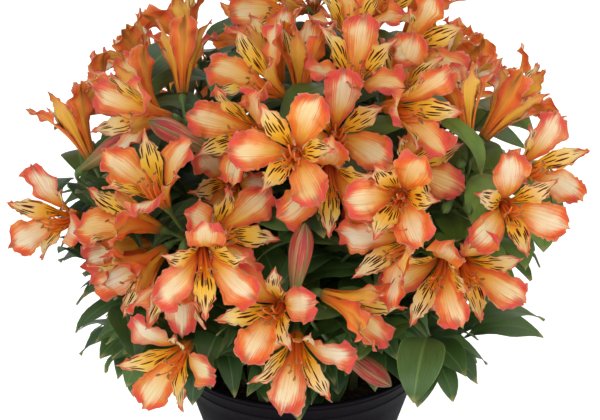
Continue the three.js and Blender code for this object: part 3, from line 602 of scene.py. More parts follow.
def leaf_corners(leaf):
    corners = [on_leaf(leaf, 1.0, 0.0, 0.0)]
    for share, width in leaf.plan.rows:
        half = leaf.half * width
        corners += [on_leaf(leaf, share, aside, LEAF_FOLD * half) for aside in (half, -half)]
    return corners


@lru_cache(maxsize=None)
def layout():
    """The blooms and shoots with the bends and turns that the CAD solids show."""
    blooms = []
    for u, (umbel, (side, rows)) in enumerate(UMBELS.items()):
        for i, (x, y, lift, face_x, face_y, roll, opening, *away) in enumerate(rows):
            facing = facing_of(side, face_x, face_y, bool(away))
            across = unit(np.cross(view_of(side)[1], facing))
            blooms.append(SimpleNamespace(
                umbel=umbel, side=side, seed=u * 10 + i + 1, open=opening, roll=roll,
                place=place_of(side, x, y, lift), facing=facing, across=across,
                upright=np.cross(facing, across),
            ))
    spread_apart(blooms)
    petals = Finder([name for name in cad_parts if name.startswith("bloom_")])
    for bloom in blooms:
        bloom.base = bloom.place - bloom.facing * (MOUTH_SHUT + MOUTH_PER_OPEN * bloom.open)
        bloom.is_bud = bloom.open <= BUD_BELOW_OPENNESS
        if not bloom.is_bud:
            turn, _ = best_of(BLOOM_ROLLS, lambda turn: tepal_corners(bloom, bloom.roll + turn), petals)
            bloom.roll += turn
            bloom.node = petals.owner(tepal_corners(bloom, bloom.roll))

    def root_of(head):
        return np.array((head[0] * STEM_DRAWN_IN, head[1] * STEM_DRAWN_IN, SOIL_TOP - SOIL_HOLE_DEPTH))

    shoots = []
    for u, umbel in enumerate(UMBELS):
        members = [bloom for bloom in blooms if bloom.umbel == umbel]
        middle = sum(bloom.base for bloom in members) / len(members)
        outward = unit(middle - HEART)
        head = middle - outward * UMBEL_DEPTH
        shoots.append(SimpleNamespace(
            node=f"shoot_{umbel}", members=members, outward=outward, head=head, root=root_of(head),
            seed=u + 1, straight=STEM_ARCHING_RISE if head[2] < STEM_ARCHES_BELOW else STEM_RISE,
            plan=FLOWERING_LEAVES,
        ))
    for n, (clump, tips) in enumerate(LEAFY_CLUMPS.items()):
        heads = [place_of(*tip) for tip in tips]
        middle = sum(heads) / len(heads)
        for i, head in enumerate(heads):
            outward = unit(unit(head * (1, 1, 0)) - UP * STEM_LEAFY_NOD)
            root = root_of(middle)
            if len(heads) > 1:
                root = root + unit(head - middle) * STEM_ROOTS_APART
            shoots.append(SimpleNamespace(
                node=f"shoot_{clump}", members=[], outward=outward, head=head, root=root,
                seed=LEAFY_SEED + 2 * n + i, straight=STEM_ARCHING_RISE, plan=LEAFY_LEAVES,
            ))
    for shoot in shoots:
        green = Finder([shoot.node])
        shoot.tone = 0.18 + 0.16 * chance(shoot.seed)
        bend, _ = best_of(STEM_BENDS, lambda bend: stem_corners(shoot, bend), green)
        shoot.curve = stem_curve(shoot, bend)
        for bloom in shoot.members:
            bend, _ = best_of(STALK_BENDS, lambda bend: stalk_corners(shoot, bloom, bend), green)
            bloom.stalk = stalk_curve(shoot, bloom, bend)
        shoot.leaves = []
        for number in range(shoot.plan.count):
            turn, miss = best_of(LEAF_TURNS, lambda turn: leaf_corners(leaf_of(shoot, number, *turn)), green)
            if miss < LEAF_FOUND_WITHIN:
                shoot.leaves.append(leaf_of(shoot, number, *turn))
    return SimpleNamespace(blooms=blooms, shoots=shoots)


# Meshes
class Piece:
    """Points in millimetres and faces of one object, with where each face's corners are on its grain."""

    def __init__(self):
        self.points, self.tones, self.faces = [], [], []
        self.count = 0

    def add(self, points, tone):
        first = self.count
        self.points.append(points)
        self.tones.append(np.full(len(points), tone))
        self.count += len(points)
        return first

    def skin(self, first, faces, grain, look):
        """Faces that all have the same number of corners, with the grain of each corner."""
        self.faces.append((np.asarray(faces) + first, np.asarray(grain, float), look))

    def finish(self, name, looks, nodes, slot, sharp):
        mesh = bpy.data.meshes.new(name)
        points = np.concatenate(self.points) * MM
        sizes = np.concatenate([np.full(len(faces), faces.shape[1]) for faces, _, _ in self.faces])
        corners = np.concatenate([faces.ravel() for faces, _, _ in self.faces])
        grain = np.concatenate([grain.reshape(-1, 2) for _, grain, _ in self.faces])
        mesh.vertices.add(len(points))
        mesh.vertices.foreach_set("co", points.astype(np.float32).ravel())
        mesh.loops.add(len(corners))
        mesh.loops.foreach_set("vertex_index", corners.astype(np.int32))
        mesh.polygons.add(len(sizes))
        mesh.polygons.foreach_set("loop_start", np.concatenate([[0], np.cumsum(sizes)[:-1]]).astype(np.int32))
        look = np.concatenate([np.full(len(faces), look) for faces, _, look in self.faces])
        for material in looks:
            mesh.materials.append(material)
        mesh.polygons.foreach_set("material_index", look.astype(np.int32))
        mesh.polygons.foreach_set("use_smooth", np.ones(len(sizes), bool))
        mesh.update(calc_edges=True)
        mesh.uv_layers.new(name="grain").data.foreach_set("uv", grain.astype(np.float32).ravel())
        tone = mesh.attributes.new("tone", "FLOAT", "POINT")
        tone.data.foreach_set("value", np.concatenate(self.tones).astype(np.float32))
        mesh.set_sharp_from_angle(angle=sharp * DEG)
        if mesh.validate():
            raise RuntimeError(f"{name} has faces that Blender can't keep")
        piece = bpy.data.objects.new(name, mesh)
        bpy.context.scene.collection.objects.link(piece)
        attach(piece, "root")
        if nodes:
            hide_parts(*nodes)
        return piece


def blade(piece, front, back, grain, tone, looks):
    """A thin closed sheet whose front and back meet along its edge. The arrays hold rows of points."""
    rows, columns = front.shape[:2]
    index = np.arange(rows * columns).reshape(rows, columns)
    under = index.copy()
    under[1:-1, 1:-1] = np.arange((rows - 2) * (columns - 2)).reshape(rows - 2, columns - 2) + rows * columns
    edge = (front + back) / 2
    edge[1:-1, 1:-1] = front[1:-1, 1:-1]
    first = piece.add(np.concatenate([edge.reshape(-1, 3), back[1:-1, 1:-1].reshape(-1, 3)]), tone)

    def cells(grid):
        return [grid[:-1, :-1], grid[1:, :-1], grid[1:, 1:], grid[:-1, 1:]]

    for grid, look, order in ((index, looks[0], (0, 1, 2, 3)), (under, looks[1], (0, 3, 2, 1))):
        faces = np.stack([cells(grid)[k].ravel() for k in order], axis=1)
        spots = np.stack([cells(grain)[k].reshape(-1, 2) for k in order], axis=1)
        piece.skin(first, faces, spots, look)


def wall(piece, first, sides, places, look):
    """Faces between rings of corners, with the place of each ring along the grain."""
    ring, side = np.meshgrid(np.arange(len(places) - 1), np.arange(sides), indexing="ij")
    ring, side = ring.ravel(), side.ravel()
    after = (side + 1) % sides
    low, high = ring * sides, (ring + 1) * sides
    faces = np.stack([low + side, low + after, high + after, high + side], axis=1)
    u = np.stack([side, side + 1, side + 1, side], axis=1) / sides
    v = np.stack([places[ring], places[ring], places[ring + 1], places[ring + 1]], axis=1)
    piece.skin(first, faces, np.stack([u, v], axis=2), look)


def tube(piece, path, radii, sides, tone, look):
    """A closed tube along a path, with a radius for each station or for each of its corners."""
    path = np.asarray(path, float)
    count = len(path)
    radii = np.asarray(radii, float)
    radii = np.broadcast_to(radii if radii.ndim != 1 else radii[:, None], (count, sides))
    tangents = np.gradient(path, axis=0)
    tangents /= np.linalg.norm(tangents, axis=1)[:, None]
    across = np.array((0.0, 1.0, 0.0)) if abs(tangents[0][0]) > 0.9 else np.array((1.0, 0.0, 0.0))
    angles = 2 * math.pi * np.arange(sides) / sides
    rings = []
    for centre, tangent, radius in zip(path, tangents, radii):
        across = unit(across - tangent * (across @ tangent))
        ring = centre + np.outer(radius * np.cos(angles), across)
        rings.append(ring + np.outer(radius * np.sin(angles), np.cross(tangent, across)))
    first = piece.add(np.concatenate(rings), tone)
    lengths = np.concatenate([[0], np.cumsum(np.linalg.norm(np.diff(path, axis=0), axis=1))])
    wall(piece, first, sides, lengths / lengths[-1], look)
    wheel = np.stack([np.arange(sides) / sides, np.zeros(sides)], axis=1)[None]
    piece.skin(first, [np.arange(sides)[::-1]], wheel, look)
    piece.skin(first, [np.arange(sides) + (count - 1) * sides], wheel + (0, 1), look)


def twisted(aside, lift, twist):
    """Distances beside and above a midrib, turned about it by an angle in radians."""
    cos, sin = np.cos(twist), np.sin(twist)
    return aside * cos - lift * sin, aside * sin + lift * cos


# Petals and stamens
OUTER_WIDTH = profile(
    (0, 0.24), (0.12, 0.2), (0.24, 0.27), (0.4, 0.56), (0.54, 0.86), (0.68, 1.0), (0.8, 0.98),
    (0.89, 0.8), (0.95, 0.58), (1, 0.3),
)
INNER_WIDTH = profile(
    (0, 0.3), (0.14, 0.26), (0.28, 0.4), (0.45, 0.78), (0.58, 1.0), (0.69, 0.95), (0.8, 0.66),
    (0.9, 0.3), (0.96, 0.14), (1, 0.03),
)
OUTER_COLUMNS = np.array((-1, -0.9, -0.76, -0.6, -0.43, -0.26, -0.1, 0, 0.1, 0.26, 0.43, 0.6, 0.76, 0.9, 1))
INNER_COLUMNS = np.array((-1, -0.82, -0.56, -0.28, 0, 0.28, 0.56, 0.82, 1))


def tip_line(columns, outer, seed):
    """How far along a petal each column of its faces reaches. An outer petal is round, with a nib."""
    shape = TEPAL_TIP
    if not outer:
        return 1 - shape.inner_slope * np.abs(columns)
    tip = shape.reach - shape.drop * np.abs(columns) ** shape.roundness
    tip = tip + shape.nib * np.exp(-(columns / shape.nib_width) ** 2)
    tip = tip - shape.dip * np.exp(-(columns / shape.dip_width) ** 2)
    return tip * (1 + shape.wave * np.sin(columns * shape.beats + 6 * chance(seed)))


def tepal_spine(tepal, curl):
    """Shares of a petal's length, with the angle, the radius and the height of its midrib at each."""
    fine = np.linspace(0, 1, SPINE_STEPS + 1)
    angles = tepal.first + (tepal.last - tepal.first) * fine + curl * DEG * eased(fine, 0.66, 1.0)
    step = tepal.length / SPINE_STEPS
    middle = (angles[1:] + angles[:-1]) / 2
    radii = TUBE_RADIUS + np.concatenate([[0], np.cumsum(np.sin(middle))]) * step
    heights = np.concatenate([[0], np.cumsum(np.cos(middle))]) * step
    return fine, angles, radii, heights


def ruffles(tepal, s, share, seed, settings):
    """How far a petal's blade is waved and folded up at each point, and its edge nicked sideways."""
    margin = np.abs(s)
    grown = eased(share, RUFFLE.start, RUFFLE.full)
    phase = np.where(s < 0, chance(seed + 2), chance(seed + 3)) * 2 * math.pi
    left, right = (RUFFLE.beats + RUFFLE.beats_more * chance(seed + n) for n in (4, 5))
    beats = np.where(s < 0, left, right)
    depth = settings.ruffle / MM * (1 if tepal.outer else RUFFLE.inner) * margin ** RUFFLE.at_edge * grown
    slow = np.sin(2 * math.pi * beats * share + phase)
    quick = np.sin(2 * math.pi * RUFFLE.quick_beats * share + 3 * phase)
    folds = np.sin(CRIMP.folds * s + 2 * math.pi * chance(seed + 7))
    crimp = settings.crimp / MM * eased(share, CRIMP.start, 1) * folds
    ragged = [chance(seed + 11 * n) + chance(seed + 5 * n) - 1 for n in range(len(share))]
    ragged = np.array(ragged)[:, None]
    nicks = settings.ragged / MM * margin ** NICKS_AT_EDGE * grown * np.where(s < 0, ragged, ragged[::-1])
    return depth * (slow + RUFFLE.quick * quick), crimp * (1 if tepal.outer else CRIMP.inner), nicks


def petal_tone(bloom, seed):
    """How old a petal looks, from 0 to 1: older in low blooms and in those far to either side."""
    low = OLDER.low_by * eased(bloom.base[2], *OLDER.low)
    beside = OLDER.beside_by * eased(abs(bloom.base[0]), *OLDER.beside)
    age = low + beside + OLDER.start
    return np.clip(age + 0.6 * chance(bloom.seed * 3.1) + 0.35 * chance(seed + 8), 0, 1)


def tepal_blade(piece, bloom, tepal, settings):
    seed = bloom.seed * 61 + tepal.number * 7
    columns = OUTER_COLUMNS if tepal.outer else INNER_COLUMNS
    low_rows = settings.petal_rows // 5
    foot = np.linspace(0, TEPAL_FOOT, low_rows + 1)[:-1]
    rows = np.concatenate([foot, np.linspace(TEPAL_FOOT, 1, settings.petal_rows - low_rows + 1)])
    share = rows[:, None] * tip_line(columns, tepal.outer, seed)[None, :]
    s = np.broadcast_to(columns[None, :], share.shape)
    half = tepal.half * (OUTER_WIDTH if tepal.outer else INNER_WIDTH)(share)
    fine, angles, radii, heights = tepal_spine(tepal, settings.tip_curl * (0.3 + chance(seed + 1)))
    angle = np.interp(share, fine, angles)

    wave, crimp, nicks = ruffles(tepal, s, share, seed, settings)
    hollow = tepal.size.cup * half * (s ** 2 - 1) * TEPAL_CUPPED_MORE
    keel = -TEPAL_KEEL_DEPTH * np.exp(-(s / TEPAL_KEEL_WIDTH) ** 2) * (1 - 0.5 * share)
    twist = (chance(seed + 6) - 0.5) * 2 * settings.petal_twist * share ** 2
    aside, lift = twisted(s * half + np.sign(s) * nicks, hollow + wave + keel + crimp, twist)
    thick = settings.petal_thickness / MM * (1 - s ** 2) ** 0.5 * (1.3 - 0.8 * share)

    def surface(more):
        raised = lift + more
        return in_bloom(
            bloom, tepal.azimuth, np.interp(share, fine, radii) - raised * np.cos(angle),
            np.interp(share, fine, heights) + raised * np.sin(angle), aside,
        )

    grain = np.stack([(s + 1) / 2, share], axis=2)
    looks = OUTER_LOOKS if tepal.outer else INNER_LOOKS
    blade(piece, surface(thick / 2), surface(-thick / 2), grain, petal_tone(bloom, seed), looks)


def throat(piece, bloom):
    """The fleshy cone that closes the tube between the petals' feet."""
    path = bloom.base + np.outer(THROAT_HEIGHTS, bloom.facing)
    tube(piece, path, THROAT_RADII, THROAT_SIDES, chance(bloom.seed), FILAMENT_LOOK)


def stamens(piece, bloom, settings):
    """The style, and thin filaments that dip and turn up again, each with its anther."""
    down = -bloom.upright
    for i in range(STAMENS):
        seed = bloom.seed * 83 + i * 5
        azimuth = (bloom.roll + 30 + 360 * i / STAMENS) * DEG
        out = bloom.across * math.cos(azimuth) + bloom.upright * math.sin(azimuth)
        length = settings.stamen_length / MM * (0.8 + 0.3 * chance(seed))
        t = np.linspace(0, 1, FILAMENT_ROWS)
        spread = 1.5 + 3.4 * bloom.open * t ** 1.3 + 2.6 * (chance(seed + 1) - 0.4) * t
        path = (
            bloom.base + np.outer(1.0 + length * t, bloom.facing) + np.outer(spread, out)
            + np.outer(settings.stamen_dip / MM * bloom.open * np.sin(2.6 * t), down)
        )
        style = i == 0
        radii = np.linspace(*FILAMENT_RADII, FILAMENT_ROWS) * (STYLE_THICKER if style else 1)
        tube(piece, path, radii, FILAMENT_SIDES, chance(seed + 2), FILAMENT_LOOK)
        if style:
            continue
        lie = unit(out * (0.8 + chance(seed + 3)) + bloom.facing * 0.6 + down * (chance(seed + 4) - 0.5))
        u = np.linspace(-1, 1, ANTHER_ROWS)
        radii = ANTHER_RADII[0] + ANTHER_RADII[1] * np.sqrt(np.clip(1 - u ** 2, 0, 1))
        body = path[-1] + np.outer(u * ANTHER_HALF, lie)
        tube(piece, body, radii, ANTHER_SIDES, chance(seed + 5), ANTHER_LOOK)


# Leaves, stems, stalks and buds
NARROW_LEAF = profile(
    (0, 0.1), (0.07, 0.3), (0.25, 0.8), (0.43, 1.0), (0.62, 0.95), (0.8, 0.62), (0.92, 0.28), (1, 0.02),
)
BROAD_LEAF = profile(
    (0, 0.1), (0.06, 0.16), (0.14, 0.46), (0.3, 0.88), (0.45, 1.0), (0.62, 0.92), (0.78, 0.68),
    (0.91, 0.34), (1, 0.02),
)
LEAF_COLUMNS = np.array((-1, -0.84, -0.52, -0.16, 0, 0.16, 0.52, 0.84, 1))


def leaf_blade(piece, leaf, settings):
    shape = (settings.leaf_rows + 1, len(LEAF_COLUMNS))
    share = np.broadcast_to(np.linspace(0, 1, settings.leaf_rows + 1)[:, None], shape)
    s = np.broadcast_to(LEAF_COLUMNS[None, :], shape)
    half = leaf.half * (BROAD_LEAF if leaf.broad else NARROW_LEAF)(share)
    seed = leaf.seed * 3.7
    phase = np.where(s < 0, chance(seed), chance(seed + 1)) * 2 * math.pi
    ripple = np.sin(2 * math.pi * (1.1 + chance(seed + 2)) * share + phase)
    wave = settings.leaf_wave / MM * s ** 2 * eased(share, 0.08, 0.4) * ripple
    ribs = LEAF_RIB_DEPTH * np.sin(np.abs(s) * LEAF_RIB_BEATS) * eased(share, 0.05, 0.3) * (1 - share)
    keel = LEAF_KEEL_DEPTH * np.exp(-(s / LEAF_KEEL_WIDTH) ** 2) * (1 - share)
    lift = LEAF_FOLD * half * np.sqrt(s ** 2 + 0.01) * 1.1 + wave + ribs - keel
    twist = (chance(seed + 3) - 0.5) * 2 * settings.leaf_twist * share
    aside, lift = twisted(s * half, lift, twist)
    aside = aside + leaf.length * LEAF_BENDS_ASIDE * (chance(seed + 4) - 0.5) * share ** 2
    thick = settings.leaf_thickness / MM * (1 - s ** 2) ** 0.5 * (1.4 - share)
    grain = np.stack([(s + 1) / 2, share], axis=2)
    # Painted sunlight: leaves rooted high at the upper right get a raised tone, so a brighter green.
    sunlit = eased(leaf.root[0], 40, 95) * eased(leaf.root[2], 175, 225)
    tone = min(1, max(0, leaf.tone + 0.75 * sunlit + 0.35 * (chance(seed + 5) - 0.5)))
    front = on_leaf(leaf, share, aside, lift + thick / 2)
    back = on_leaf(leaf, share, aside, lift - thick / 2)
    blade(piece, front, back, grain, tone, LEAF_LOOKS)


def ribbed(piece, path, radius, swell, tone):
    """A flower stalk with ribs where it swells into its ovary."""
    rib = 0.5 + 0.5 * np.cos(OVARY_RIBS * 2 * math.pi * np.arange(OVARY_SIDES) / OVARY_SIDES)
    radii = radius[:, None] * (1 - OVARY_RIB_DEPTH * np.outer(swell, 1 - rib))
    tube(piece, path, radii, OVARY_SIDES, tone, STALK_LOOK)


def stalk(piece, bloom):
    """A flower stalk with the ovary under its bloom."""
    start = 1 - OVARY_LENGTH / bloom.stalk.length
    stations = np.concatenate([np.linspace(0, start, 10), np.linspace(start, 1, 9)[1:]])
    swell = eased(stations, start - 0.02, start + (1 - start) * 0.75)
    neck = eased(stations, start + (1 - start) * 0.78, 1)
    radius = STALK_RADIUS + (OVARY_RADIUS - STALK_RADIUS) * swell - 0.5 * neck
    ribbed(piece, bloom.stalk.point(stations), radius, swell, chance(bloom.seed))


def spent(piece, start, end, seed):
    """A flower stalk whose petals have dropped, with its ovary and the dried style."""
    length = np.linalg.norm(end - start)
    out = unit(end - start)
    curve = Bend(start, start + UP * 0.3 * length, end - out * 0.3 * length, end)
    stations = np.array((0, 0.2, 0.4, 0.56, 0.66, 0.76, 0.86, 0.93, 0.96, 1.0))
    radius = np.array((1.1, 1.0, 1.0, 1.2, 2.2, 3.1, 3.3, 2.6, 0.9, 0.3))
    ribbed(piece, curve.point(stations), radius, eased(stations, 0.5, 0.7), chance(seed))


BUD_SHAPE = profile((0, 0.36), (0.12, 0.5), (0.4, 0.84), (0.66, 1.0), (0.82, 0.86), (0.93, 0.5), (1, 0.12))


def bud(piece, bloom):
    """A closed bud, with the folds where its three outer petals meet."""
    t = np.linspace(0, 1, BUD_ROWS)
    angles = 2 * math.pi * np.arange(BUD_SIDES) / BUD_SIDES
    folds = 3 * angles[None, :] + bloom.roll * DEG + 1.1 * t[:, None]
    lobes = 0.1 * np.abs(np.sin(folds / 2)) ** 0.7 - 0.06 + 0.02 * np.cos(2 * folds)
    radii = BUD_RADIUS * BUD_SHAPE(t)[:, None] * (1 + lobes * eased(t, 0.05, 0.4)[:, None])
    path = bloom.base - bloom.facing + np.outer(t * BUD_LENGTH, bloom.facing)
    tube(piece, path, radii, BUD_SIDES, chance(bloom.seed + 0.5), BUD_LOOK)


def stem(piece, curve, radius, tip_radius, tone, pointed):
    stations = np.linspace(0, 1, STEM_ROWS)
    radii = (radius + (tip_radius - radius) * stations) * (1 - pointed * eased(stations, POINTED_FROM, 1))
    tube(piece, curve.point(stations), radii, STEM_SIDES, tone, STEM_LOOK)


def proxy(leaf):
    """A coarse copy of a leaf's blade, to see what it would pass through."""
    points, faces = [], []
    for share in PROXY_SHARES:
        half = leaf.half * float((BROAD_LEAF if leaf.broad else NARROW_LEAF)(share))
        points += [on_leaf(leaf, share, aside, LEAF_FOLD * abs(aside)) for aside in (-half, 0.0, half)]
    for row in range(len(PROXY_SHARES) - 1):
        for column in (0, 1):
            a = row * 3 + column
            faces.append((a, a + 1, a + 4, a + 3))
    return BVHTree.FromPolygons([tuple(p) for p in points], faces)


def solids_tree(*kinds):
    """The surface of the CAD solids of some kinds, in millimetres."""
    points, faces = [], []
    for name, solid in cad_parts.items():
        if not name.startswith(kinds):
            continue
        first = len(points)
        points += [tuple(v.co / MM) for v in solid.data.vertices]
        faces += [tuple(first + i for i in polygon.vertices) for polygon in solid.data.polygons]
    return BVHTree.FromPolygons(points, faces)


def clear_leaf(curve, share, wanted, taken):
    """The first turn and size in which a leaf passes through no solid and no added leaf, if there is one."""
    solids, placed = taken
    root = curve.point(share)
    if root[2] < SOIL_TOP + LEAF_ABOVE_SOIL:
        return []
    near = [tree for other, tree in placed if np.linalg.norm(other - root) < LEAF_NEIGHBOURS_WITHIN]
    for size in LEAF_SIZES:
        for lift, turn in LEAF_TURNS:
            leaf = SimpleNamespace(
                root=root, azimuth=(wanted.azimuth + turn) * DEG, pitch=(wanted.pitch + lift) * DEG,
                droop=wanted.droop * DEG, length=wanted.length * size, half=wanted.half * size,
                broad=wanted.broad, seed=wanted.seed, tone=wanted.tone,
            )
            tip = on_leaf(leaf, 1.0, 0.0, 0.0)
            out = (tip - DOME_CENTRE) / DOME_RADII
            if tip[2] < HIGH_LEAF:
                out = out * (1, 1, 0)
            if np.linalg.norm(out) > LEAF_REACH:
                continue
            tree = proxy(leaf)
            if not tree.overlap(solids) and not any(tree.overlap(other) for other in near):
                placed.append((root, tree))
                return [leaf]
    return []


def sprig_clear(curve, solids):
    """Whether a thin stem along the curve passes through no solid."""
    path = curve.point(np.linspace(SPRIG_TESTED_FROM, 1, SPRIG_TESTS))
    up, side = UP * SPRIG_CLEAR_BY, UP[::-1] * SPRIG_CLEAR_BY
    points = [tuple(p + off) for p in path for off in (up, -up, side, -side)]
    faces = []
    for n in range(len(path) - 1):
        a = 4 * n
        faces += [(a, a + 1, a + 5, a + 4), (a + 2, a + 3, a + 7, a + 6)]
    return not BVHTree.FromPolygons(points, faces).overlap(solids)


# Where leafy sprigs could stand. Each has a seed, a turn, a tone, the share of its length that its leaves
# start from, and the curves to try in turn.
def dome_sprigs():
    """Sprigs through the dome, between the blooms."""
    plan = DOME_SPRIGS
    for i in range(plan.count):
        level = plan.low + plan.rise * (i + 0.5) / plan.count
        azimuth = (GOLDEN_ANGLE * i + plan.first) * DEG
        out = math.sqrt(max(0.0, 1 - level ** 2))
        way = np.array((out * math.cos(azimuth), out * math.sin(azimuth), level))
        beside = np.cross(UP, way)
        tries = []
        for depth in plan.depths:
            for lean in plan.leans:
                head = DOME_CENTRE + DOME_RADII * way * depth
                root = np.array((head[0] * plan.drawn_in, head[1] * plan.drawn_in, SOIL_TOP - SPRIG_SUNK))
                height = np.linalg.norm(head - root)
                bent = head - unit(head - HEART) * plan.arrival * height + beside * lean
                tries.append(Bend(root, root + UP * plan.straight * height, bent, head))
        yield i, azimuth / DEG, plan.tone + plan.tone_more * max(0, level), plan.leaves_from, tries


def rim_sprigs():
    """Sprigs over the pot's rim, at the sides and the back."""
    plan = RIM_SPRIGS
    for i in range(plan.count):
        seed = i + plan.seed
        turn = plan.first + plan.span * i / (plan.count - 1) + plan.turn_more * (chance(seed) - 0.5)
        azimuth = turn * DEG
        level = np.array((math.cos(azimuth), math.sin(azimuth), 0))
        tries = []
        for reach in plan.reaches:
            height = plan.height + plan.height_more * chance(seed + 2)
            root = level * plan.roots + UP * (SOIL_TOP - SPRIG_SUNK)
            head = level * (reach + plan.reach_more * chance(seed + 1)) + UP * height
            bent = head - level * plan.arrival + UP * plan.arrival_above
            tries.append(Bend(root, root + UP * plan.straight, bent, head))
        yield seed, azimuth / DEG, plan.tone + plan.tone_more * chance(seed + 3), plan.leaves_from, tries


def side_sprigs():
    """Sprigs on the left of the view, by the places of their tips."""
    plan = SIDE_SPRIGS
    for i, (x, y, lift) in enumerate(plan.tips):
        head = place_of("front", x, y, lift)
        tries = []
        for step in plan.steps:
            end = head + np.array((0, step, 0))
            root = np.array((end[0] * plan.drawn_in, end[1] * plan.drawn_in, SOIL_TOP - SPRIG_SUNK))
            bent = end - unit(end - HEART) * plan.arrival + UP * plan.arrival_above
            tries.append(Bend(root, root + UP * plan.straight, bent, end))
        yield plan.seed + i, plan.first + plan.turn * i, plan.tone, plan.leaves_from, tries


def stem_leaves(n, shoot, count, taken):
    """Leaves along a shoot's stem, between those of its solid."""
    plan = ADDED_LEAVES
    leafy = shoot.plan is LEAFY_LEAVES
    low = plan.leafy_from if leafy else plan.flowering_from
    leaves = []
    for i in range(count):
        share = low + (plan.up_to - low) * (i + plan.step_more * chance(n * 17 + i)) / count
        seed = 900 + n * 40 + i
        vary = chance(seed)
        broad = leafy or share < plan.broad_below
        size = BROAD_ADDED if broad else NARROW_ADDED
        wanted = SimpleNamespace(
            azimuth=GOLDEN_ANGLE * i + 70 * n,
            pitch=plan.pitch - plan.low_pitch * (share < plan.low_below) + plan.pitch_more * vary,
            droop=plan.droop + plan.droop_more * chance(seed + 1),
            length=size.length * (plan.length + plan.length_more * vary),
            half=size.half * (plan.half + plan.half_more * vary), broad=broad, seed=seed,
            tone=shoot.tone - plan.shade * (share < plan.shaded_below),
        )
        leaves += clear_leaf(shoot.curve, share, wanted, taken)
    return leaves


def umbel_bracts(n, shoot, taken):
    """Small leaves round the place where a shoot's flower stalks start."""
    plan = BRACTS
    bracts = []
    for i in range(plan.count if shoot.members else 0):
        seed = 3000 + n * 20 + i
        vary = chance(seed)
        wanted = SimpleNamespace(
            azimuth=360 * i / plan.count + plan.turn_more * vary, pitch=plan.pitch + plan.pitch_more * vary,
            droop=plan.droop + plan.droop_more * chance(seed + 2),
            length=plan.length + plan.length_more * vary, half=plan.half + plan.half_more * vary,
            broad=False, seed=seed, tone=plan.tone + plan.tone_more * vary,
        )
        share = plan.start + plan.step_more * chance(seed + 1)
        bracts += clear_leaf(shoot.curve, share, wanted, taken)
    return bracts


def sprig_leaves(curve, seed, azimuth, tone, low, taken):
    """Leaves along a sprig, from a share of its length to its tip."""
    plan = SPRIG_LEAVES
    leaves = []
    for i in range(plan.count):
        vary = chance(seed * 23 + i + 5000)
        size = plan.size + plan.size_more * vary
        wanted = SimpleNamespace(
            azimuth=azimuth + GOLDEN_ANGLE * (i + 1), pitch=plan.pitch + plan.pitch_more * vary,
            droop=plan.droop + plan.droop_more * chance(seed * 29 + i), length=plan.length * size,
            half=plan.half * size, broad=seed >= RIM_SPRIGS.seed or vary > plan.broad_above,
            seed=7000 + seed * 10 + i, tone=tone + plan.young * (i > plan.young_after),
        )
        leaves += clear_leaf(curve, low + (plan.up_to - low) * i / (plan.count - 1), wanted, taken)
    return leaves


@lru_cache(maxsize=None)
def foliage(flowering, leafy):
    """Leaves that the solids leave out, on every stem and on sprigs of their own."""
    taken = (solids_tree("bloom", "shoot", "pot"), [])
    petals = solids_tree("bloom")
    added = []
    for n, shoot in enumerate(layout().shoots):
        count = leafy if shoot.plan is LEAFY_LEAVES else flowering
        added.append(stem_leaves(n, shoot, count, taken) + umbel_bracts(n, shoot, (petals, [])))
    sprigs = []
    for seed, azimuth, tone, low, tries in (*dome_sprigs(), *rim_sprigs(), *side_sprigs()):
        curve = next((curve for curve in tries if sprig_clear(curve, petals)), None)
        if curve:
            leaves = sprig_leaves(curve, seed, azimuth, tone, low, taken)
            sprigs.append(SimpleNamespace(curve=curve, leaves=leaves, tone=tone, rim=seed >= RIM_SPRIGS.seed))
    return added, sprigs


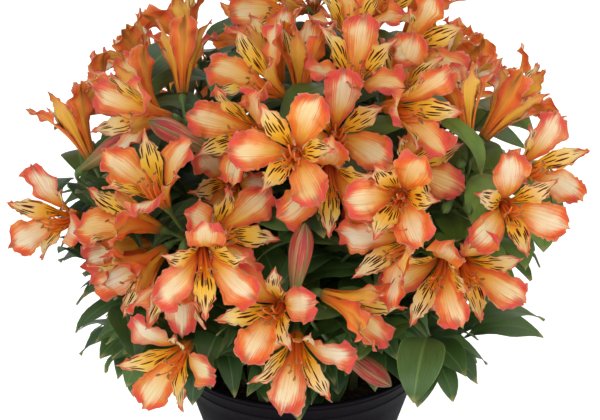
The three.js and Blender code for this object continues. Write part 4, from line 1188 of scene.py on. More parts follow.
# Looks
class Look:
    """One material's nodes, linked as they are made."""

    def __init__(self, name, sockets):
        self.material = bpy.data.materials.new(name)
        self.material.use_nodes = True
        self.nodes = self.material.node_tree.nodes
        self.links = self.material.node_tree.links
        self.shader = self.nodes["Principled BSDF"]
        for socket, value in sockets.items():
            self.shader.inputs[socket].default_value = value

    def put(self, socket, value):
        if isinstance(value, bpy.types.NodeSocket):
            self.links.new(value, socket)
        elif hasattr(value, "__len__") and len(socket.default_value) == 4:
            socket.default_value = (*value[:3], 1)
        else:
            socket.default_value = value

    def node(self, kind, inputs, output=0, **settings):
        made = self.nodes.new("ShaderNode" + kind)
        for key, value in settings.items():
            setattr(made, key, value)
        for key, value in inputs.items():
            self.put(made.inputs[key], value)
        return made.outputs[output]

    def math(self, operation, *values):
        return self.node("Math", dict(enumerate(values)), operation=operation)

    def ease(self, value, low, high, to=(0, 1)):
        inputs = {"Value": value, "From Min": low, "From Max": high, "To Min": to[0], "To Max": to[1]}
        return self.node("MapRange", inputs, interpolation_type="SMOOTHSTEP")

    def mix(self, share, a, b, blend="MIX"):
        return self.node("Mix", {0: share, 6: a, 7: b}, 2, data_type="RGBA", blend_type=blend)

    def ramp(self, value, *stops):
        made = self.nodes.new("ShaderNodeValToRGB")
        made.color_ramp.interpolation = "B_SPLINE"
        for place, colour in stops[2:]:
            made.color_ramp.elements.new(place)
        for element, (place, colour) in zip(made.color_ramp.elements, stops):
            element.position = place
            element.color = (*colour[:3], 1)
        self.put(made.inputs[0], value)
        return made.outputs[0]

    def grain(self):
        """How far across and along the piece, from 0 to 1, and its tone."""
        uv = self.node("UVMap", {}, uv_map="grain")
        parts = self.nodes.new("ShaderNodeSeparateXYZ")
        self.put(parts.inputs[0], uv)
        tone = self.node("Attribute", {}, "Fac", attribute_name="tone")
        return uv, parts.outputs[0], parts.outputs[1], tone

    def scaled(self, vector, x, y, z=0.0, shift=None):
        out = self.node("VectorMath", {0: vector, 1: (x, y, z)}, operation="MULTIPLY")
        if shift is None:
            return out
        aside, along = (self.math("MULTIPLY", shift, far) for far in TONE_SHIFTS)
        moved = self.node("CombineXYZ", {0: aside, 1: along})
        return self.node("VectorMath", {0: out, 1: moved}, operation="ADD")

    def noise(self, vector, scale, detail=2.0, roughness=0.5):
        inputs = {"Vector": vector, "Scale": scale, "Detail": detail, "Roughness": roughness}
        return self.node("TexNoise", inputs)

    def bump(self, height, strength, distance):
        inputs = {"Height": height, "Strength": strength, "Distance": distance}
        self.put(self.shader.inputs["Normal"], self.node("Bump", inputs))

    def colour(self, value):
        self.put(self.shader.inputs["Base Color"], value)

    def rough(self, value):
        self.put(self.shader.inputs["Roughness"], value)


PETAL_SHADER = {
    "Subsurface Weight": 0.45, "Subsurface Radius": (1.0, 0.4, 0.15), "Subsurface Scale": 0.003,
    "Specular IOR Level": 0.14,
}
LEAF_SHADER = {
    "Subsurface Weight": 0.05, "Subsurface Radius": (0.3, 0.9, 0.1), "Subsurface Scale": 0.001,
    "Specular IOR Level": 0.45,
}
FILAMENT_SHADER = {
    "Subsurface Weight": 0.15, "Subsurface Radius": (1, 0.4, 0.15), "Subsurface Scale": 0.001,
}
STEM_SHADER = {
    "Subsurface Weight": 0.05, "Subsurface Radius": (0.4, 0.8, 0.2), "Subsurface Scale": 0.001,
}
THROAT_RED = (0.46, 0.05, 0.008)
THROAT_ORANGE = (0.8, 0.19, 0.012)


def margin_of(look, u):
    """0 along the midrib and 1 at either edge."""
    return look.math("ABSOLUTE", look.math("SUBTRACT", look.math("MULTIPLY", u, 2.0), 1.0))


def both(look, *shares):
    """The product of several shares."""
    share = shares[0]
    for other in shares[1:]:
        share = look.math("MULTIPLY", share, other)
    return share


class Petal(Look):
    """A petal's look, with the veins and patches that its colours follow."""

    def __init__(self, name, lines):
        super().__init__(name, PETAL_SHADER)
        self.uv, self.u, self.v, self.tone = self.grain()
        self.margin = margin_of(self, self.u)
        self.veins = self.noise(self.scaled(self.uv, lines, 1.2, shift=self.tone), 1.0, 3.0, 0.6)
        self.patches = self.noise(self.scaled(self.uv, 2.4, 3.2, shift=self.tone), 1.0, 3.0)
        by_vein = self.math("SUBTRACT", self.veins, 0.5)
        by_patch = self.math("MULTIPLY", self.math("SUBTRACT", self.patches, 0.5), 1.2)
        self.wander = self.math("ADD", by_vein, by_patch)

    def towards_edge(self, tip_from, more_at_tip):
        """How near the edge or tip a point is, along a ragged line."""
        tip = self.ease(self.v, tip_from, 1.0, (0.0, more_at_tip))
        return self.math("ADD", self.math("ADD", self.margin, tip), self.wander)

    def finish(self, body):
        self.colour(body)
        cells = self.noise(self.scaled(self.uv, 90.0, 220.0, shift=self.tone), 1.0, 1.0)
        folds = self.noise(self.scaled(self.uv, 7.0, 9.0, shift=self.tone), 1.0, 2.0)
        deep = self.ease(self.v, 0.4, 0.8, (0.0, 5.0))
        crinkled = both(self, folds, self.ease(self.margin, 0.4, 1.0), deep)
        relief = self.math("ADD", self.veins, self.math("MULTIPLY", cells, 0.2))
        self.bump(self.math("ADD", relief, crinkled), 0.7, 0.0008)
        self.rough(self.ease(self.veins, 0.3, 0.7, (0.64, 0.46)))
        return self.material


def outer_face(settings):
    look = Petal("outer tepal face", 30.0)
    v = look.v
    middle = look.ramp(
        v, (0.0, THROAT_RED), (0.16, THROAT_ORANGE), (0.34, settings.gold), (0.5, (0.91, 0.5, 0.12)),
        (0.68, settings.cream), (0.9, settings.cream), (1.0, settings.peach),
    )
    sides = look.ramp(
        v, (0.0, THROAT_RED), (0.2, THROAT_ORANGE), (0.42, (0.9, 0.25, 0.02)), (0.62, (0.9, 0.28, 0.06)),
        (0.84, settings.peach), (1.0, settings.coral),
    )
    old = look.math("MULTIPLY", look.ease(look.tone, 0.45, 0.7, (0.0, 0.7)), look.ease(v, 0.35, 0.62))
    middle = look.mix(old, middle, settings.faded)
    sides = look.mix(look.math("MULTIPLY", old, 0.6), sides, settings.faded)
    young = look.math("MULTIPLY", look.ease(look.tone, 0.42, 0.2, (0.0, 0.6)), look.ease(v, 0.4, 0.6))
    middle = look.mix(young, middle, (0.92, 0.48, 0.13))
    body = look.mix(look.ease(look.math("ADD", look.margin, look.wander), 0.18, 0.68), middle, sides)
    streaks = both(look, look.ease(look.veins, 0.5, 0.64), look.ease(v, 0.2, 0.65, (0.85, 0.4)))
    body = look.mix(streaks, body, (0.82, 0.24, 0.09))
    reach = look.towards_edge(0.66, 1.0)
    some = look.ease(look.math("FRACT", look.math("MULTIPLY", look.tone, 7.0)), 0.2, 0.8)
    warm = look.mix(some, settings.coral, (0.92, 0.15, 0.018))
    body = look.mix(both(look, look.ease(reach, 0.4, 1.14), look.ease(v, 0.12, 0.4)), body, warm)
    rim = both(look, look.ease(reach, 0.85, 1.45), look.ease(v, 0.3, 0.6, (0.0, 0.85)))
    body = look.mix(rim, body, settings.rose)
    smudge = both(look, look.ease(v, 0.76, 0.94, (0.0, 0.8)), look.ease(look.margin, 0.42, 0.08),
                  look.ease(look.patches, 0.4, 0.55))
    body = look.mix(smudge, body, (0.3, 0.07, 0.05))
    nib = look.math("MULTIPLY", look.ease(v, 0.94, 0.985), look.ease(look.margin, 0.3, 0.1))
    return look.finish(look.mix(nib, body, (0.1, 0.09, 0.03)))


def outer_back(settings):
    look = Petal("outer tepal back", 32.0)
    v = look.v
    body = look.ramp(
        v, (0.0, (0.12, 0.13, 0.03)), (0.08, (0.5, 0.17, 0.02)), (0.2, (0.95, 0.2, 0.012)),
        (0.46, (1.0, 0.2, 0.02)), (0.72, (0.97, 0.2, 0.07)), (1.0, settings.coral),
    )
    pale = both(look, look.ease(look.margin, 0.62, 0.2), look.ease(v, 0.1, 0.5, (0.0, 0.6)))
    body = look.mix(pale, body, (1.0, 0.52, 0.08))
    body = look.mix(look.ease(look.veins, 0.48, 0.62, (0.0, 0.65)), body, (0.88, 0.13, 0.02))
    reach = look.towards_edge(0.7, 0.3)
    body = look.mix(both(look, look.ease(reach, 0.55, 1.05), look.ease(v, 0.2, 0.5)), body, settings.coral)
    rib = both(look, look.ease(look.math("ADD", look.margin, look.wander), 0.26, 0.08),
               look.ease(v, 0.5, 0.92, (0.05, 0.85)))
    return look.finish(look.mix(rib, body, (0.16, 0.12, 0.04)))


def inner_face(settings):
    look = Petal("inner tepal face", 20.0)
    v = look.v
    body = look.ramp(
        v, (0.0, THROAT_RED), (0.14, THROAT_ORANGE), (0.3, (0.95, 0.4, 0.015)), (0.5, settings.sunny),
        (0.7, (0.93, 0.57, 0.11)), (0.87, settings.cream), (1.0, settings.coral),
    )
    old = both(look, look.ease(look.tone, 0.45, 0.7, (0.0, 0.6)), look.ease(v, 0.42, 0.7))
    body = look.mix(old, body, settings.cream)
    body = look.mix(look.ease(look.veins, 0.5, 0.7, (0.0, 0.5)), body, (0.84, 0.22, 0.02))
    reach = look.towards_edge(0.76, 0.9)
    body = look.mix(both(look, look.ease(reach, 0.76, 1.2), look.ease(v, 0.35, 0.65)), body, settings.coral)
    wavy = look.math("ADD", look.u, look.math("MULTIPLY", look.wander, 0.05))
    place = look.node("CombineXYZ", {0: wavy, 1: v})
    cells = {"Vector": look.scaled(place, 8.0, 3.0, shift=look.tone), "Scale": 1.0, "Randomness": 0.8}
    spots = look.node("TexVoronoi", cells, voronoi_dimensions="2D")
    size = look.math("ADD", 0.29, look.math("MULTIPLY", look.math("SUBTRACT", look.patches, 0.5), 0.3))
    dash = look.ease(look.math("SUBTRACT", spots, size), 0.03, -0.03)
    where = both(look, look.ease(v, 0.14, 0.24), look.ease(v, 0.9, 0.78), look.ease(look.margin, 1.0, 0.82))
    return look.finish(look.mix(look.math("MULTIPLY", dash, where), body, settings.maroon))


def inner_back(settings):
    look = Petal("inner tepal back", 22.0)
    v = look.v
    body = look.ramp(
        v, (0.0, (0.2, 0.16, 0.03)), (0.14, (0.92, 0.3, 0.02)), (0.4, (1.0, 0.5, 0.035)),
        (0.7, (0.98, 0.56, 0.13)), (0.88, settings.peach), (1.0, settings.coral),
    )
    body = look.mix(look.ease(look.veins, 0.48, 0.7, (0.0, 0.55)), body, (0.76, 0.13, 0.02))
    return look.finish(look.mix(look.ease(look.towards_edge(0.7, 0.4), 0.7, 1.1), body, settings.coral))


def filament_look():
    look = Look("filament", FILAMENT_SHADER)
    uv, _, v, tone = look.grain()
    blotch = look.noise(look.scaled(uv, 6.0, 14.0, shift=tone), 1.0)
    body = look.ramp(v, (0.0, THROAT_RED), (0.2, (0.8, 0.14, 0.015)), (0.6, (0.88, 0.3, 0.03)),
                     (1.0, (0.86, 0.26, 0.1)))
    look.colour(look.mix(look.ease(blotch, 0.5, 0.7, (0.0, 0.5)), body, (0.72, 0.1, 0.04)))
    look.rough(look.ease(blotch, 0.3, 0.7, (0.4, 0.6)))
    return look.material


def anther_look():
    look = Look("anther", {})
    uv, _, _, tone = look.grain()
    pollen = look.noise(look.scaled(uv, 40.0, 60.0, shift=tone), 1.0, 3.0)
    body = look.mix(tone, (0.16, 0.06, 0.015), (0.4, 0.15, 0.03))
    look.colour(look.mix(look.ease(pollen, 0.45, 0.65), body, (0.44, 0.26, 0.07)))
    look.rough(look.ease(pollen, 0.3, 0.7, (0.95, 0.75)))
    look.bump(pollen, 0.6, 0.0003)
    return look.material


def leaf_look(settings, under):
    look = Look("leaf under" if under else "leaf top", LEAF_SHADER)
    uv, u, v, tone = look.grain()
    margin = margin_of(look, u)
    ribs = {"Vector": look.scaled(uv, 1.0, 0.0), "Scale": 9.0}
    fine = look.node("TexWave", ribs, bands_direction="X", wave_profile="SIN")
    broken = look.noise(look.scaled(uv, 42.0, 3.0, shift=tone), 1.0, 2.0)
    cloud = look.noise(look.scaled(uv, 2.5, 5.0, shift=tone), 1.0, 4.0, 0.6)
    # Tone runs from old leaves and painted shade, through most leaves, to young leaves and painted sunlight.
    body = look.ramp(tone, (0.0, settings.leaf_dark), (0.4, settings.leaf_green), (1.0, settings.leaf_young_and_sunlit))
    body = look.mix(look.ease(cloud, 0.35, 0.75, (0.0, 0.55)), body, settings.leaf_green)
    lines = look.math("MULTIPLY", look.ease(fine, 0.55, 0.95), look.ease(broken, 0.3, 0.6))
    body = look.mix(look.math("MULTIPLY", lines, 0.35), body, (0.14, 0.26, 0.055))
    body = look.mix(look.ease(margin, 0.1, 0.02, (0.0, 0.5)), body, (0.16, 0.28, 0.07))
    body = look.mix(look.ease(margin, 0.93, 1.0, (0.0, 0.4)), body, (0.2, 0.26, 0.07))
    if under:
        body = look.mix(look.ease(cloud, 0.3, 0.7, (0.4, 0.6)), body, (0.14, 0.22, 0.1))
    worn = both(look, look.ease(v, 0.9, 1.0), look.ease(cloud, 0.35, 0.55))
    body = look.mix(worn, body, (0.42, 0.36, 0.12))
    look.colour(body)
    height = look.math("ADD", look.math("MULTIPLY", fine, 0.5), look.math("MULTIPLY", broken, 0.5))
    look.bump(height, 0.5 if under else 0.4, 0.0008)
    look.rough(look.ease(cloud, 0.3, 0.7, (0.6, 0.5) if under else (0.5, 0.34)))
    return look.material


def stem_look(name, low, high, blotch_colour):
    look = Look(name, STEM_SHADER)
    uv, _, v, tone = look.grain()
    lines = look.noise(look.scaled(uv, 26.0, 6.0, shift=tone), 1.0, 3.0)
    blotch = look.noise(look.scaled(uv, 3.0, 22.0, shift=tone), 1.0, 3.0)
    body = look.mix(v, low, high)
    body = look.mix(look.ease(blotch, 0.5, 0.72, (0.0, 0.6)), body, blotch_colour)
    look.colour(look.mix(look.ease(lines, 0.5, 0.7, (0.0, 0.35)), body, (0.2, 0.3, 0.08)))
    look.bump(lines, 0.4, 0.0005)
    look.rough(look.ease(lines, 0.3, 0.7, (0.55, 0.4)))
    return look.material


def bud_look():
    look = Look("closed bud", PETAL_SHADER)
    uv, u, v, tone = look.grain()
    lines = look.noise(look.scaled(uv, 40.0, 1.4, shift=tone), 1.0, 3.0, 0.6)
    body = look.ramp(
        v, (0.0, (0.08, 0.15, 0.03)), (0.2, (0.18, 0.2, 0.06)), (0.42, (0.4, 0.14, 0.075)),
        (0.64, (0.46, 0.07, 0.06)), (0.86, (0.34, 0.035, 0.04)), (1.0, (0.07, 0.1, 0.03)),
    )
    panel = look.math("ABSOLUTE", look.math("SINE", look.math("MULTIPLY", u, 3 * math.pi)))
    body = look.mix(look.ease(panel, 0.35, 0.05, (0.0, 0.55)), body, (0.36, 0.34, 0.12))
    body = look.mix(look.ease(lines, 0.54, 0.64, (0.0, 0.5)), body, (0.6, 0.38, 0.22))
    body = look.mix(look.ease(lines, 0.46, 0.36, (0.0, 0.8)), body, (0.28, 0.025, 0.04))
    look.colour(look.mix(look.ease(panel, 0.97, 1.0, (0.0, 0.7)), body, (0.14, 0.18, 0.05)))
    look.bump(lines, 0.6, 0.0006)
    look.rough(look.ease(lines, 0.3, 0.7, (0.5, 0.38)))
    return look.material


def pot_look(settings):
    look = Look("moulded black plastic", {"Specular IOR Level": 0.03})
    place = look.node("TexCoord", {}, "Object")
    grit = look.noise(place, 900.0, 3.0)
    haze = look.noise(place, 14.0, 5.0, 0.65)
    rubbed = look.node("VectorMath", {0: place, 1: (60.0, 60.0, 700.0)}, operation="MULTIPLY")
    scuffs = look.noise(rubbed, 1.0, 4.0, 0.7)
    body = look.mix(look.ease(haze, 0.42, 0.75, (0.0, 0.6)), settings.plastic, (0.009, 0.0075, 0.011))
    body = look.mix(look.ease(scuffs, 0.64, 0.8, (0.0, 0.4)), body, (0.03, 0.027, 0.034))
    dust = look.noise(place, 260.0, 4.0, 0.7)
    body = look.mix(look.ease(dust, 0.69, 0.76, (0.0, 0.3)), body, (0.06, 0.048, 0.04))
    look.colour(body)
    worn = look.ease(scuffs, 0.55, 0.8, (0.0, 0.2))
    look.rough(look.math("ADD", look.ease(haze, 0.3, 0.7, (0.46, 0.6)), worn))
    look.bump(look.math("ADD", grit, look.math("MULTIPLY", scuffs, 0.6)), 0.25, 0.0003)
    return look.material


def soil_look(settings):
    look = Look("potting mix", {"Specular IOR Level": 0.2})
    place = look.node("TexCoord", {}, "Object")
    coarse = look.noise(place, 240.0, 5.0, 0.65)
    fine = look.noise(place, 1500.0, 3.0)
    body = look.ramp(coarse, (0.25, (0.008, 0.005, 0.003)), (0.5, settings.mix), (0.75, (0.1, 0.06, 0.034)))
    body = look.mix(look.ease(fine, 0.62, 0.7, (0.0, 0.7)), body, (0.22, 0.16, 0.11))
    look.colour(body)
    look.rough(look.ease(fine, 0.3, 0.7, (0.98, 0.82)))
    look.bump(look.math("ADD", coarse, look.math("MULTIPLY", fine, 0.4)), 0.9, 0.0016)
    return look.material


def floor_look(settings):
    look = Look("studio floor", {"Specular IOR Level": 0.1})
    place = look.node("TexCoord", {}, "Object")
    cloud = look.noise(place, 3.0, 2.0)
    dim = [0.99 * c for c in settings.floor]
    look.colour(look.mix(look.ease(cloud, 0.3, 0.7), settings.floor, dim))
    look.rough(look.ease(cloud, 0.3, 0.7, (0.9, 0.94)))
    look.shader.inputs["Emission Color"].default_value = (1, 1, 1, 1)
    seen = look.node("LightPath", {}, "Is Camera Ray")
    glow = {"Value": seen, "To Min": 0.4 * settings.floor_glow, "To Max": settings.floor_glow}
    look.put(look.shader.inputs["Emission Strength"], look.node("MapRange", glow))
    return look.material


# Settings
def length_setting(name, description, default):
    return FloatProperty(name=name, description=description, default=default, min=0.0, max=0.2, precision=5,
                         subtype="DISTANCE", unit="LENGTH")


def angle_setting(name, description, default):
    return FloatProperty(name=name, description=description, default=default, min=0, max=math.pi,
                         subtype="ANGLE")


def power_setting(name, description, default):
    return FloatProperty(name=name, description=description, default=default, subtype="POWER", unit="POWER")


def plain_setting(name, description, default):
    return FloatProperty(name=name, description=description, default=default)


def count_setting(name, description, default, low, high):
    return IntProperty(name=name, description=description, default=default, min=low, max=high)


def colour_setting(name, description, default):
    return FloatVectorProperty(name=name, description=description, default=default, size=3, min=0, max=1,
                               subtype="COLOR")


class BloomSettings(bpy.types.PropertyGroup):
    """Sizes and colours of the petals and stamens."""

    petal_thickness: length_setting("Petal thickness", "Through a petal beside its midrib", 0.00055)
    ruffle: length_setting("Ruffle", "How far a petal's edge waves to either side", 0.003)
    crimp: length_setting("Crimp", "How deep the folds at a petal's tip are", 0.0021)
    ragged: length_setting("Raggedness", "How far a petal's edge is nicked", 0.0014)
    petal_twist: angle_setting("Petal twist", "The most that a petal turns along its length", 0.3)
    tip_curl: plain_setting("Tip curl", "How far petal tips bend back, in degrees", 16.0)
    petal_rows: count_setting("Petal rows", "Rows of faces along a petal", 24, 8, 60)
    stamen_length: length_setting("Stamen length", "From the throat to the anther", 0.03)
    stamen_dip: length_setting("Stamen dip", "How far the stamens sag before they turn up", 0.007)
    coral: colour_setting("Coral", "Edges of the petals", (0.86, 0.11, 0.06))
    rose: colour_setting("Rose", "Outermost rim of the petals", (0.74, 0.06, 0.065))
    gold: colour_setting("Gold", "Lower half of the petals", (0.92, 0.43, 0.035))
    cream: colour_setting("Cream", "Middle of the outer petals", (0.92, 0.66, 0.39))
    peach: colour_setting("Peach", "Between the cream and the coral", (0.88, 0.3, 0.1))
    faded: colour_setting("Faded", "Middle of the older petals", (0.93, 0.75, 0.57))
    sunny: colour_setting("Sunny", "Middle of the inner petals", (0.94, 0.5, 0.03))
    maroon: colour_setting("Maroon", "Dashes on the inner petals", (0.06, 0.007, 0.004))


class ShootSettings(bpy.types.PropertyGroup):
    """Sizes and colours of the stems and leaves."""

    leaf_thickness: length_setting("Leaf thickness", "Through a leaf beside its midrib", 0.0006)
    leaf_wave: length_setting("Leaf wave", "How far a leaf's edge waves to either side", 0.0014)
    leaf_twist: angle_setting("Leaf twist", "The most that a leaf turns along its length", 0.5)
    leaf_rows: count_setting("Leaf rows", "Rows of faces along a leaf", 12, 6, 60)
    flowering_leaves: count_setting("Leaves on flowering stems", "Tried besides the solids' own", 11, 0, 40)
    leafy_leaves: count_setting("Leaves on leafy stems", "Tried besides the solids' own", 9, 0, 40)
    leaf_dark: colour_setting("Dark leaf", "Old leaves in the shade", (0.012, 0.038, 0.014))
    leaf_green: colour_setting("Green leaf", "Most leaves", (0.036, 0.095, 0.02))
    # The brightest green, for young leaves and for leaves with painted sunlight.
    leaf_young_and_sunlit: colour_setting("Young leaf", "The brightest leaves", (0.24, 0.38, 0.05))
    stem_green: colour_setting("Stem", "Green of the stems", (0.1, 0.17, 0.045))


class PotSettings(bpy.types.PropertyGroup):
    """Sizes and colours of the pot and its soil."""

    bead: length_setting("Bead", "How far the beads on the collar stand out", 0.0005)
    plastic: colour_setting("Plastic", "The pot's own colour", (0.0045, 0.0036, 0.0055))
    mix: colour_setting("Potting mix", "Colour of the soil", (0.028, 0.017, 0.01))
    crumbs: count_setting("Crumbs", "Loose crumbs on the soil", 300, 0, 2000)


class StageSettings(bpy.types.PropertyGroup):
    """The floor, lights and camera."""

    floor: colour_setting("Floor", "Colour of the floor", (0.8, 0.8, 0.8))
    floor_glow: plain_setting("Floor glow", "Light that the floor gives, to keep it white", 0.7)
    key_power: power_setting("Key light", "Power of the main light", 18.0)
    fill_power: power_setting("Fill light", "Power of the fill and rim lights", 9.0)
    sky: plain_setting("Sky", "Strength of the light from all round", 0.44)
    lens: plain_setting("Lens", "Focal length in millimetres", 101.5)


# The pieces
class LILY_OT_stage(bpy.types.Operator):
    """Makes the floor, the soft lights and the camera"""

    bl_idname = "lily.stage"
    bl_label = "Stage"

    def execute(self, context):
        settings = context.scene.lily_stage
        mesh = bpy.data.meshes.new("floor")
        far = FLOOR_REACH
        corners = [(-far, -far, 0), (far, -far, 0), (far, far, 0), (-far, far, 0)]
        mesh.from_pydata(corners, [], [(0, 1, 2, 3)])
        mesh.materials.append(floor_look(settings))
        floor = bpy.data.objects.new("floor", mesh)
        context.scene.collection.objects.link(floor)

        world = bpy.data.worlds.new("studio")
        world.use_nodes = True
        sky = world.node_tree.nodes["Background"]
        sky.inputs["Color"].default_value = SKY_COLOUR
        seen = world.node_tree.nodes.new("ShaderNodeLightPath").outputs["Is Camera Ray"]
        strength = world.node_tree.nodes.new("ShaderNodeMapRange")
        strength.inputs["To Min"].default_value = settings.sky
        world.node_tree.links.new(seen, strength.inputs["Value"])
        world.node_tree.links.new(strength.outputs[0], sky.inputs["Strength"])
        context.scene.world = world
        lamps = (
            ("key", *KEY_LIGHT, settings.key_power),
            ("fill", *FILL_LIGHT, settings.fill_power),
            ("rim", *RIM_LIGHT, settings.fill_power),
        )
        for name, place, width, power in lamps:
            lamp = bpy.data.lights.new(name, "AREA")
            lamp.size = width
            lamp.energy = power
            light = bpy.data.objects.new(name, lamp)
            light.location = place
            aim = Vector(EYE_TARGET * MM) - light.location
            light.rotation_euler = aim.to_track_quat("-Z", "Y").to_euler()
            context.scene.collection.objects.link(light)

        camera = bpy.data.objects.new("camera", bpy.data.cameras.new("camera"))
        camera.data.sensor_width = SENSOR_WIDTH
        camera.data.lens = settings.lens
        camera.location = Vector(eye_of("front") * MM)
        camera.rotation_euler = (math.pi / 2 - EYE_ELEVATION * DEG, 0, 0)
        context.scene.collection.objects.link(camera)
        context.scene.camera = camera
        context.scene.view_settings.view_transform = "Standard"
        return {"FINISHED"}


def lathe(piece, outline, sides, tone, look):
    """A solid turned about the Z axis from an outline of (radius, height) from the axis back to it."""
    outline = np.array(outline, float)
    rim = outline[1:-1]
    angles = 2 * math.pi * np.arange(sides) / sides
    rings = np.stack([np.outer(rim[:, 0], np.cos(angles)), np.outer(rim[:, 0], np.sin(angles)),
                      np.repeat(rim[:, 1:], sides, axis=1)], axis=2)
    ends = np.array([(0, 0, outline[0][1]), (0, 0, outline[-1][1])])
    first = piece.add(np.concatenate([rings.reshape(-1, 3), ends]), tone)
    wall(piece, first, sides, np.arange(len(rim)) / len(rim), look)
    around = np.arange(sides)
    after = (around + 1) % sides
    low, high = len(rim) * sides, len(rim) * sides + 1
    last = (len(rim) - 1) * sides
    spots = np.zeros((sides, 3, 2))
    piece.skin(first, np.stack([np.full(sides, low), after, around], axis=1), spots, look)
    piece.skin(first, np.stack([np.full(sides, high), last + around, last + after], axis=1), spots, look)


def wall_radius(z):
    """The radius of the pot's outer wall below its collar, at a height."""
    flare = POT_RIM_RADIUS - POT_COLLAR_OUT - POT_RIM_DEPTH - POT_BASE_RADIUS
    return POT_BASE_RADIUS + flare * z / POT_HEIGHT


def bored(piece):
    """Cuts the drain holes through the pot's floor."""
    cutters = Piece()
    for i in range(DRAIN_HOLES):
        angle = 2 * math.pi * i / DRAIN_HOLES
        middle = DRAIN_HOLE_RING * np.array((math.cos(angle), math.sin(angle), 0))
        tube(cutters, [middle + UP * z for z in (-4.0, 1.0, 5.0, 10.0)], DRAIN_HOLE_RADIUS, 24, 0.0, 0)
    cutter = cutters.finish("drain", [piece.data.materials[0]], (), "pot", POT_SHARP)
    cut = piece.modifiers.new("drain", "BOOLEAN")
    cut.object = cutter
    cut.solver = "EXACT"
    bpy.context.view_layer.update()
    shaped = bpy.data.meshes.new_from_object(piece.evaluated_get(bpy.context.evaluated_depsgraph_get()))
    piece.modifiers.clear()
    piece.data = shaped
    bpy.data.objects.remove(cutter)
    shaped.set_sharp_from_angle(angle=POT_SHARP * DEG)


class LILY_OT_pot(bpy.types.Operator):
    """Makes the moulded pot with its collar, beads, foot ring and drain holes"""

    bl_idname = "lily.pot"
    bl_label = "Pot"

    def execute(self, context):
        settings = context.scene.lily_pot
        bead = settings.bead / MM
        foot = POT_BASE_RADIUS - POT_FOOT_WIDTH
        floor = POT_FOOT_HEIGHT + POT_WALL
        collar = POT_HEIGHT - POT_COLLAR_HEIGHT
        lip = wall_radius(collar) + POT_COLLAR_OUT
        outline = [(0, 0), (POT_BOSS_RADIUS - 0.4, 0), (POT_BOSS_RADIUS + 0.2, 0.3),
                   (POT_BOSS_RADIUS + 1, POT_FOOT_HEIGHT), (foot - 1, POT_FOOT_HEIGHT), (foot - 0.2, 0.3),
                   (foot + 0.4, 0), (POT_BASE_RADIUS - 0.8, 0), (POT_BASE_RADIUS, 0.7)]
        outline += [(wall_radius(z), z) for z in np.linspace(4, collar - 1.2, 14)]
        outline += [(wall_radius(collar) + 0.5, collar - 0.4), (lip - 0.6, collar), (lip, collar + 0.6)]

        def outside(z):
            return lip + (POT_RIM_RADIUS - lip) * (z - collar) / POT_COLLAR_HEIGHT

        for middle in (collar + height for height in POT_BEADS):
            for z, out in BEAD_OUTLINE:
                outline.append((outside(middle + z) + bead * out - 0.3, middle + z))
        inner = POT_RIM_RADIUS - POT_WALL - POT_RIM_DEPTH
        outline += [(POT_RIM_RADIUS - 0.3, POT_HEIGHT - 1.2), (POT_RIM_RADIUS - 0.5, POT_HEIGHT - 0.4),
                    (POT_RIM_RADIUS - 1.2, POT_HEIGHT), (inner + 0.7, POT_HEIGHT), (inner, POT_HEIGHT - 0.5)]
        top, bottom = wall_radius(collar) - POT_WALL + 1, wall_radius(floor) - POT_WALL
        outline.append((top, collar))
        for z in np.linspace(collar - 12, floor + 2, 8):
            outline.append((bottom + (top - bottom) * (z - floor) / (collar - floor), z))
        outline += [(bottom - 0.6, floor + 0.4), (bottom - 2, floor), (DRAIN_HOLE_RING + 6, floor),
                    (DRAIN_HOLE_RING - 6, floor), (8, floor), (0, floor)]
        made = Piece()
        lathe(made, outline, POT_SIDES, 0.5, 0)
        bored(made.finish("pot_moulding", [pot_look(settings)], ["pot"], "pot", POT_SHARP))
        return {"FINISHED"}


def inside_pot(z):
    """The radius of the soil where it fills the pot at a height."""
    return wall_radius(z) - POT_WALL - 2 * GAP


def soil_height(r, reach):
    """The height of the mounded soil at a radius."""
    return SOIL_TOP - 1 + SOIL_MOUND * (1 - (r / reach) ** 2) - SOIL_DISH * (r / reach) ** 12


def crumb(piece, i, reach):
    """A lumpy crumb on the soil."""
    angle = 2 * math.pi * chance(i + 0.1)
    r = (reach - 5) * math.sqrt(chance(i + 0.3))
    middle = np.array((r * math.cos(angle), r * math.sin(angle), soil_height(r, reach)))
    size = CRUMB.size + CRUMB.size_more * chance(i + 0.5) ** 2
    lie = unit(np.array((chance(i + 0.6) - 0.5, chance(i + 0.7) - 0.5, 0.3 * (chance(i + 0.8) - 0.5))))
    long = 1 + CRUMB.longer * chance(i + 0.9) ** 3
    u = np.linspace(-1, 1, CRUMB.rings)
    lumps = np.array([
        [CRUMB.lumps + CRUMB.lumps_more * chance(i * 3.1 + ring * 7.3 + side) for side in range(CRUMB.sides)]
        for ring in range(CRUMB.rings)
    ])
    radii = size * np.sqrt(np.clip(1.02 - u ** 2, 0.02, 1))[:, None] * lumps
    tube(piece, middle + np.outer(u * size * long, lie), radii, CRUMB.sides, chance(i + 0.4), 0)


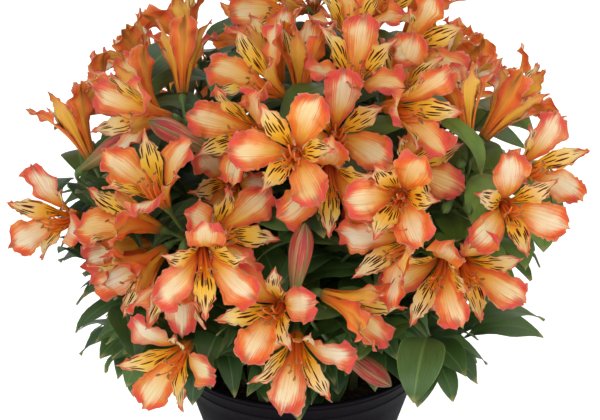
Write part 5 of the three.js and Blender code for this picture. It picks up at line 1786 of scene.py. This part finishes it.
class LILY_OT_soil(bpy.types.Operator):
    """Fills the pot with potting mix and scatters crumbs on it"""

    bl_idname = "lily.soil"
    bl_label = "Soil"

    def execute(self, context):
        settings = context.scene.lily_pot
        low = POT_FOOT_HEIGHT + POT_WALL + GAP
        reach = inside_pot(SOIL_EDGE) - 1.0
        outline = [(0, low)] + [(inside_pot(low) * share - 1, low) for share in (0.3, 0.6, 1.0)]
        outline += [(inside_pot(z), z) for z in np.linspace(low + 4, SOIL_EDGE, 8)]
        radii = [reach * (1 - i / SOIL_RINGS) for i in range(1, SOIL_RINGS)]
        outline += [(r, soil_height(r, reach)) for r in (*radii, 0)]
        made = Piece()
        lathe(made, outline, SOIL_SIDES, 0.5, 0)
        body = made.points[0]
        x, y = body[:, 0], body[:, 1]
        loose = eased(body[:, 2], SOIL_EDGE + 1, SOIL_TOP) * (np.hypot(x, y) < reach - 2)
        rough = (np.sin(x * 0.61 + 1.3 * np.sin(y * 0.37)) + np.sin(y * 0.53 + 1.7 * np.sin(x * 0.41))
                 + 0.6 * np.sin(x * 1.7 + y * 1.1) * np.sin(y * 1.9 - x * 0.7))
        body[:, 2] += loose * SOIL_ROUGHNESS * rough
        for i in range(settings.crumbs):
            crumb(made, i, reach)
        made.finish("potting_mix", [soil_look(settings)], ["soil"], "soil", SOIL_SHARP)
        return {"FINISHED"}


def greens(scene):
    """The looks of everything that is green, in the order that the shoots' faces use."""
    settings = scene.lily_shoots
    return [
        stem_look("stem", (0.055, 0.05, 0.02), settings.stem_green, (0.13, 0.07, 0.035)),
        leaf_look(settings, False), leaf_look(settings, True),
        stem_look("flower stalk", (0.12, 0.2, 0.05), (0.09, 0.19, 0.04), (0.2, 0.13, 0.06)),
        bud_look(),
    ]


class LILY_OT_shoots(bpy.types.Operator):
    """Makes every shoot: its stem, flower stalks, ovaries, closed buds and leaves"""

    bl_idname = "lily.shoots"
    bl_label = "Shoots"

    def execute(self, context):
        settings = context.scene.lily_shoots
        looks = greens(context.scene)
        added, _ = foliage(settings.flowering_leaves, settings.leafy_leaves)
        shoots = layout().shoots
        for node in sorted({shoot.node for shoot in shoots}):
            made = Piece()
            for n, shoot in enumerate(shoots):
                if shoot.node != node:
                    continue
                pointed = 0.0 if shoot.members else 0.8
                stem(made, shoot.curve, STEM_RADIUS, STEM_TIP_RADIUS, shoot.tone, pointed)
                for leaf in shoot.leaves + added[n]:
                    leaf_blade(made, leaf, settings)
                for i, (x, y, lift) in enumerate(SPENT.get(node, ())):
                    spent(made, shoot.curve.point(1), place_of("front", x, y, lift), 60 + i)
                for bloom in shoot.members:
                    stalk(made, bloom)
                    if bloom.is_bud:
                        bud(made, bloom)
            made.finish(node.replace("shoot", "greenery"), looks, [node], "shoot", PLANT_SHARP)
        return {"FINISHED"}


class LILY_OT_sprigs(bpy.types.Operator):
    """Makes the leafy sprigs that fill the dome and hang over the pot's rim"""

    bl_idname = "lily.sprigs"
    bl_label = "Sprigs"

    def execute(self, context):
        settings = context.scene.lily_shoots
        looks = greens(context.scene)
        _, sprigs = foliage(settings.flowering_leaves, settings.leafy_leaves)
        for name, rim in (("sprigs_dome", False), ("sprigs_rim", True)):
            made = Piece()
            for sprig in sprigs:
                if sprig.rim != rim:
                    continue
                stem(made, sprig.curve, SPRIG_RADIUS, SPRIG_TIP_RADIUS, sprig.tone, 0.85)
                for leaf in sprig.leaves:
                    leaf_blade(made, leaf, settings)
            made.finish(name, looks, (), "shoot", PLANT_SHARP)
        return {"FINISHED"}


class LILY_OT_blooms(bpy.types.Operator):
    """Makes the petals and stamens of every open bloom, one piece for each bunch of blooms"""

    bl_idname = "lily.blooms"
    bl_label = "Blooms"

    def execute(self, context):
        settings = context.scene.lily_blooms
        looks = [outer_face(settings), outer_back(settings), inner_face(settings), inner_back(settings),
                 filament_look(), anther_look()]
        opened = [bloom for bloom in layout().blooms if not bloom.is_bud]
        for node in sorted(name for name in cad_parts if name.startswith("bloom_")):
            members = [bloom for bloom in opened if bloom.node == node]
            if not members:
                raise RuntimeError(f"no bloom was found in {node}")
            made = Piece()
            for bloom in members:
                for tepal in tepals_of(bloom, bloom.roll):
                    tepal_blade(made, bloom, tepal, settings)
                throat(made, bloom)
                stamens(made, bloom, settings)
            made.finish(node.replace("bloom", "petals"), looks, [node], "bloom", PLANT_SHARP)
        return {"FINISHED"}


class LILY_PT_panel(bpy.types.Panel):
    """Lists the plant's pieces and their settings"""

    bl_idname = "LILY_PT_panel"
    bl_label = "Potted Peruvian lily"
    bl_space_type = "VIEW_3D"
    bl_region_type = "UI"
    bl_category = "Lily"

    def draw(self, context):
        column = self.layout
        for operator in PIECES:
            column.operator(operator.bl_idname)
        for title, holder in (("Blooms", "lily_blooms"), ("Shoots", "lily_shoots"), ("Pot", "lily_pot"),
                              ("Stage", "lily_stage")):
            box = column.box()
            box.label(text=title)
            settings = getattr(context.scene, holder)
            for name in settings.__annotations__:
                box.prop(settings, name)


SETTINGS = {"lily_blooms": BloomSettings, "lily_shoots": ShootSettings, "lily_pot": PotSettings,
            "lily_stage": StageSettings}
PIECES = (LILY_OT_stage, LILY_OT_pot, LILY_OT_soil, LILY_OT_shoots, LILY_OT_sprigs, LILY_OT_blooms)
CLASSES = (*SETTINGS.values(), *PIECES, LILY_PT_panel)


def register():
    for made in CLASSES:
        bpy.utils.register_class(made)
    for name, group in SETTINGS.items():
        setattr(bpy.types.Scene, name, PointerProperty(type=group))


def unregister():
    for name in SETTINGS:
        delattr(bpy.types.Scene, name)
    for made in reversed(CLASSES):
        bpy.utils.unregister_class(made)


def main():
    register()
    bpy.ops.lily.stage()
    bpy.ops.lily.pot()
    bpy.ops.lily.soil()
    bpy.ops.lily.shoots()
    bpy.ops.lily.sprigs()
    bpy.ops.lily.blooms()


if __name__ == "__main__":
    main()
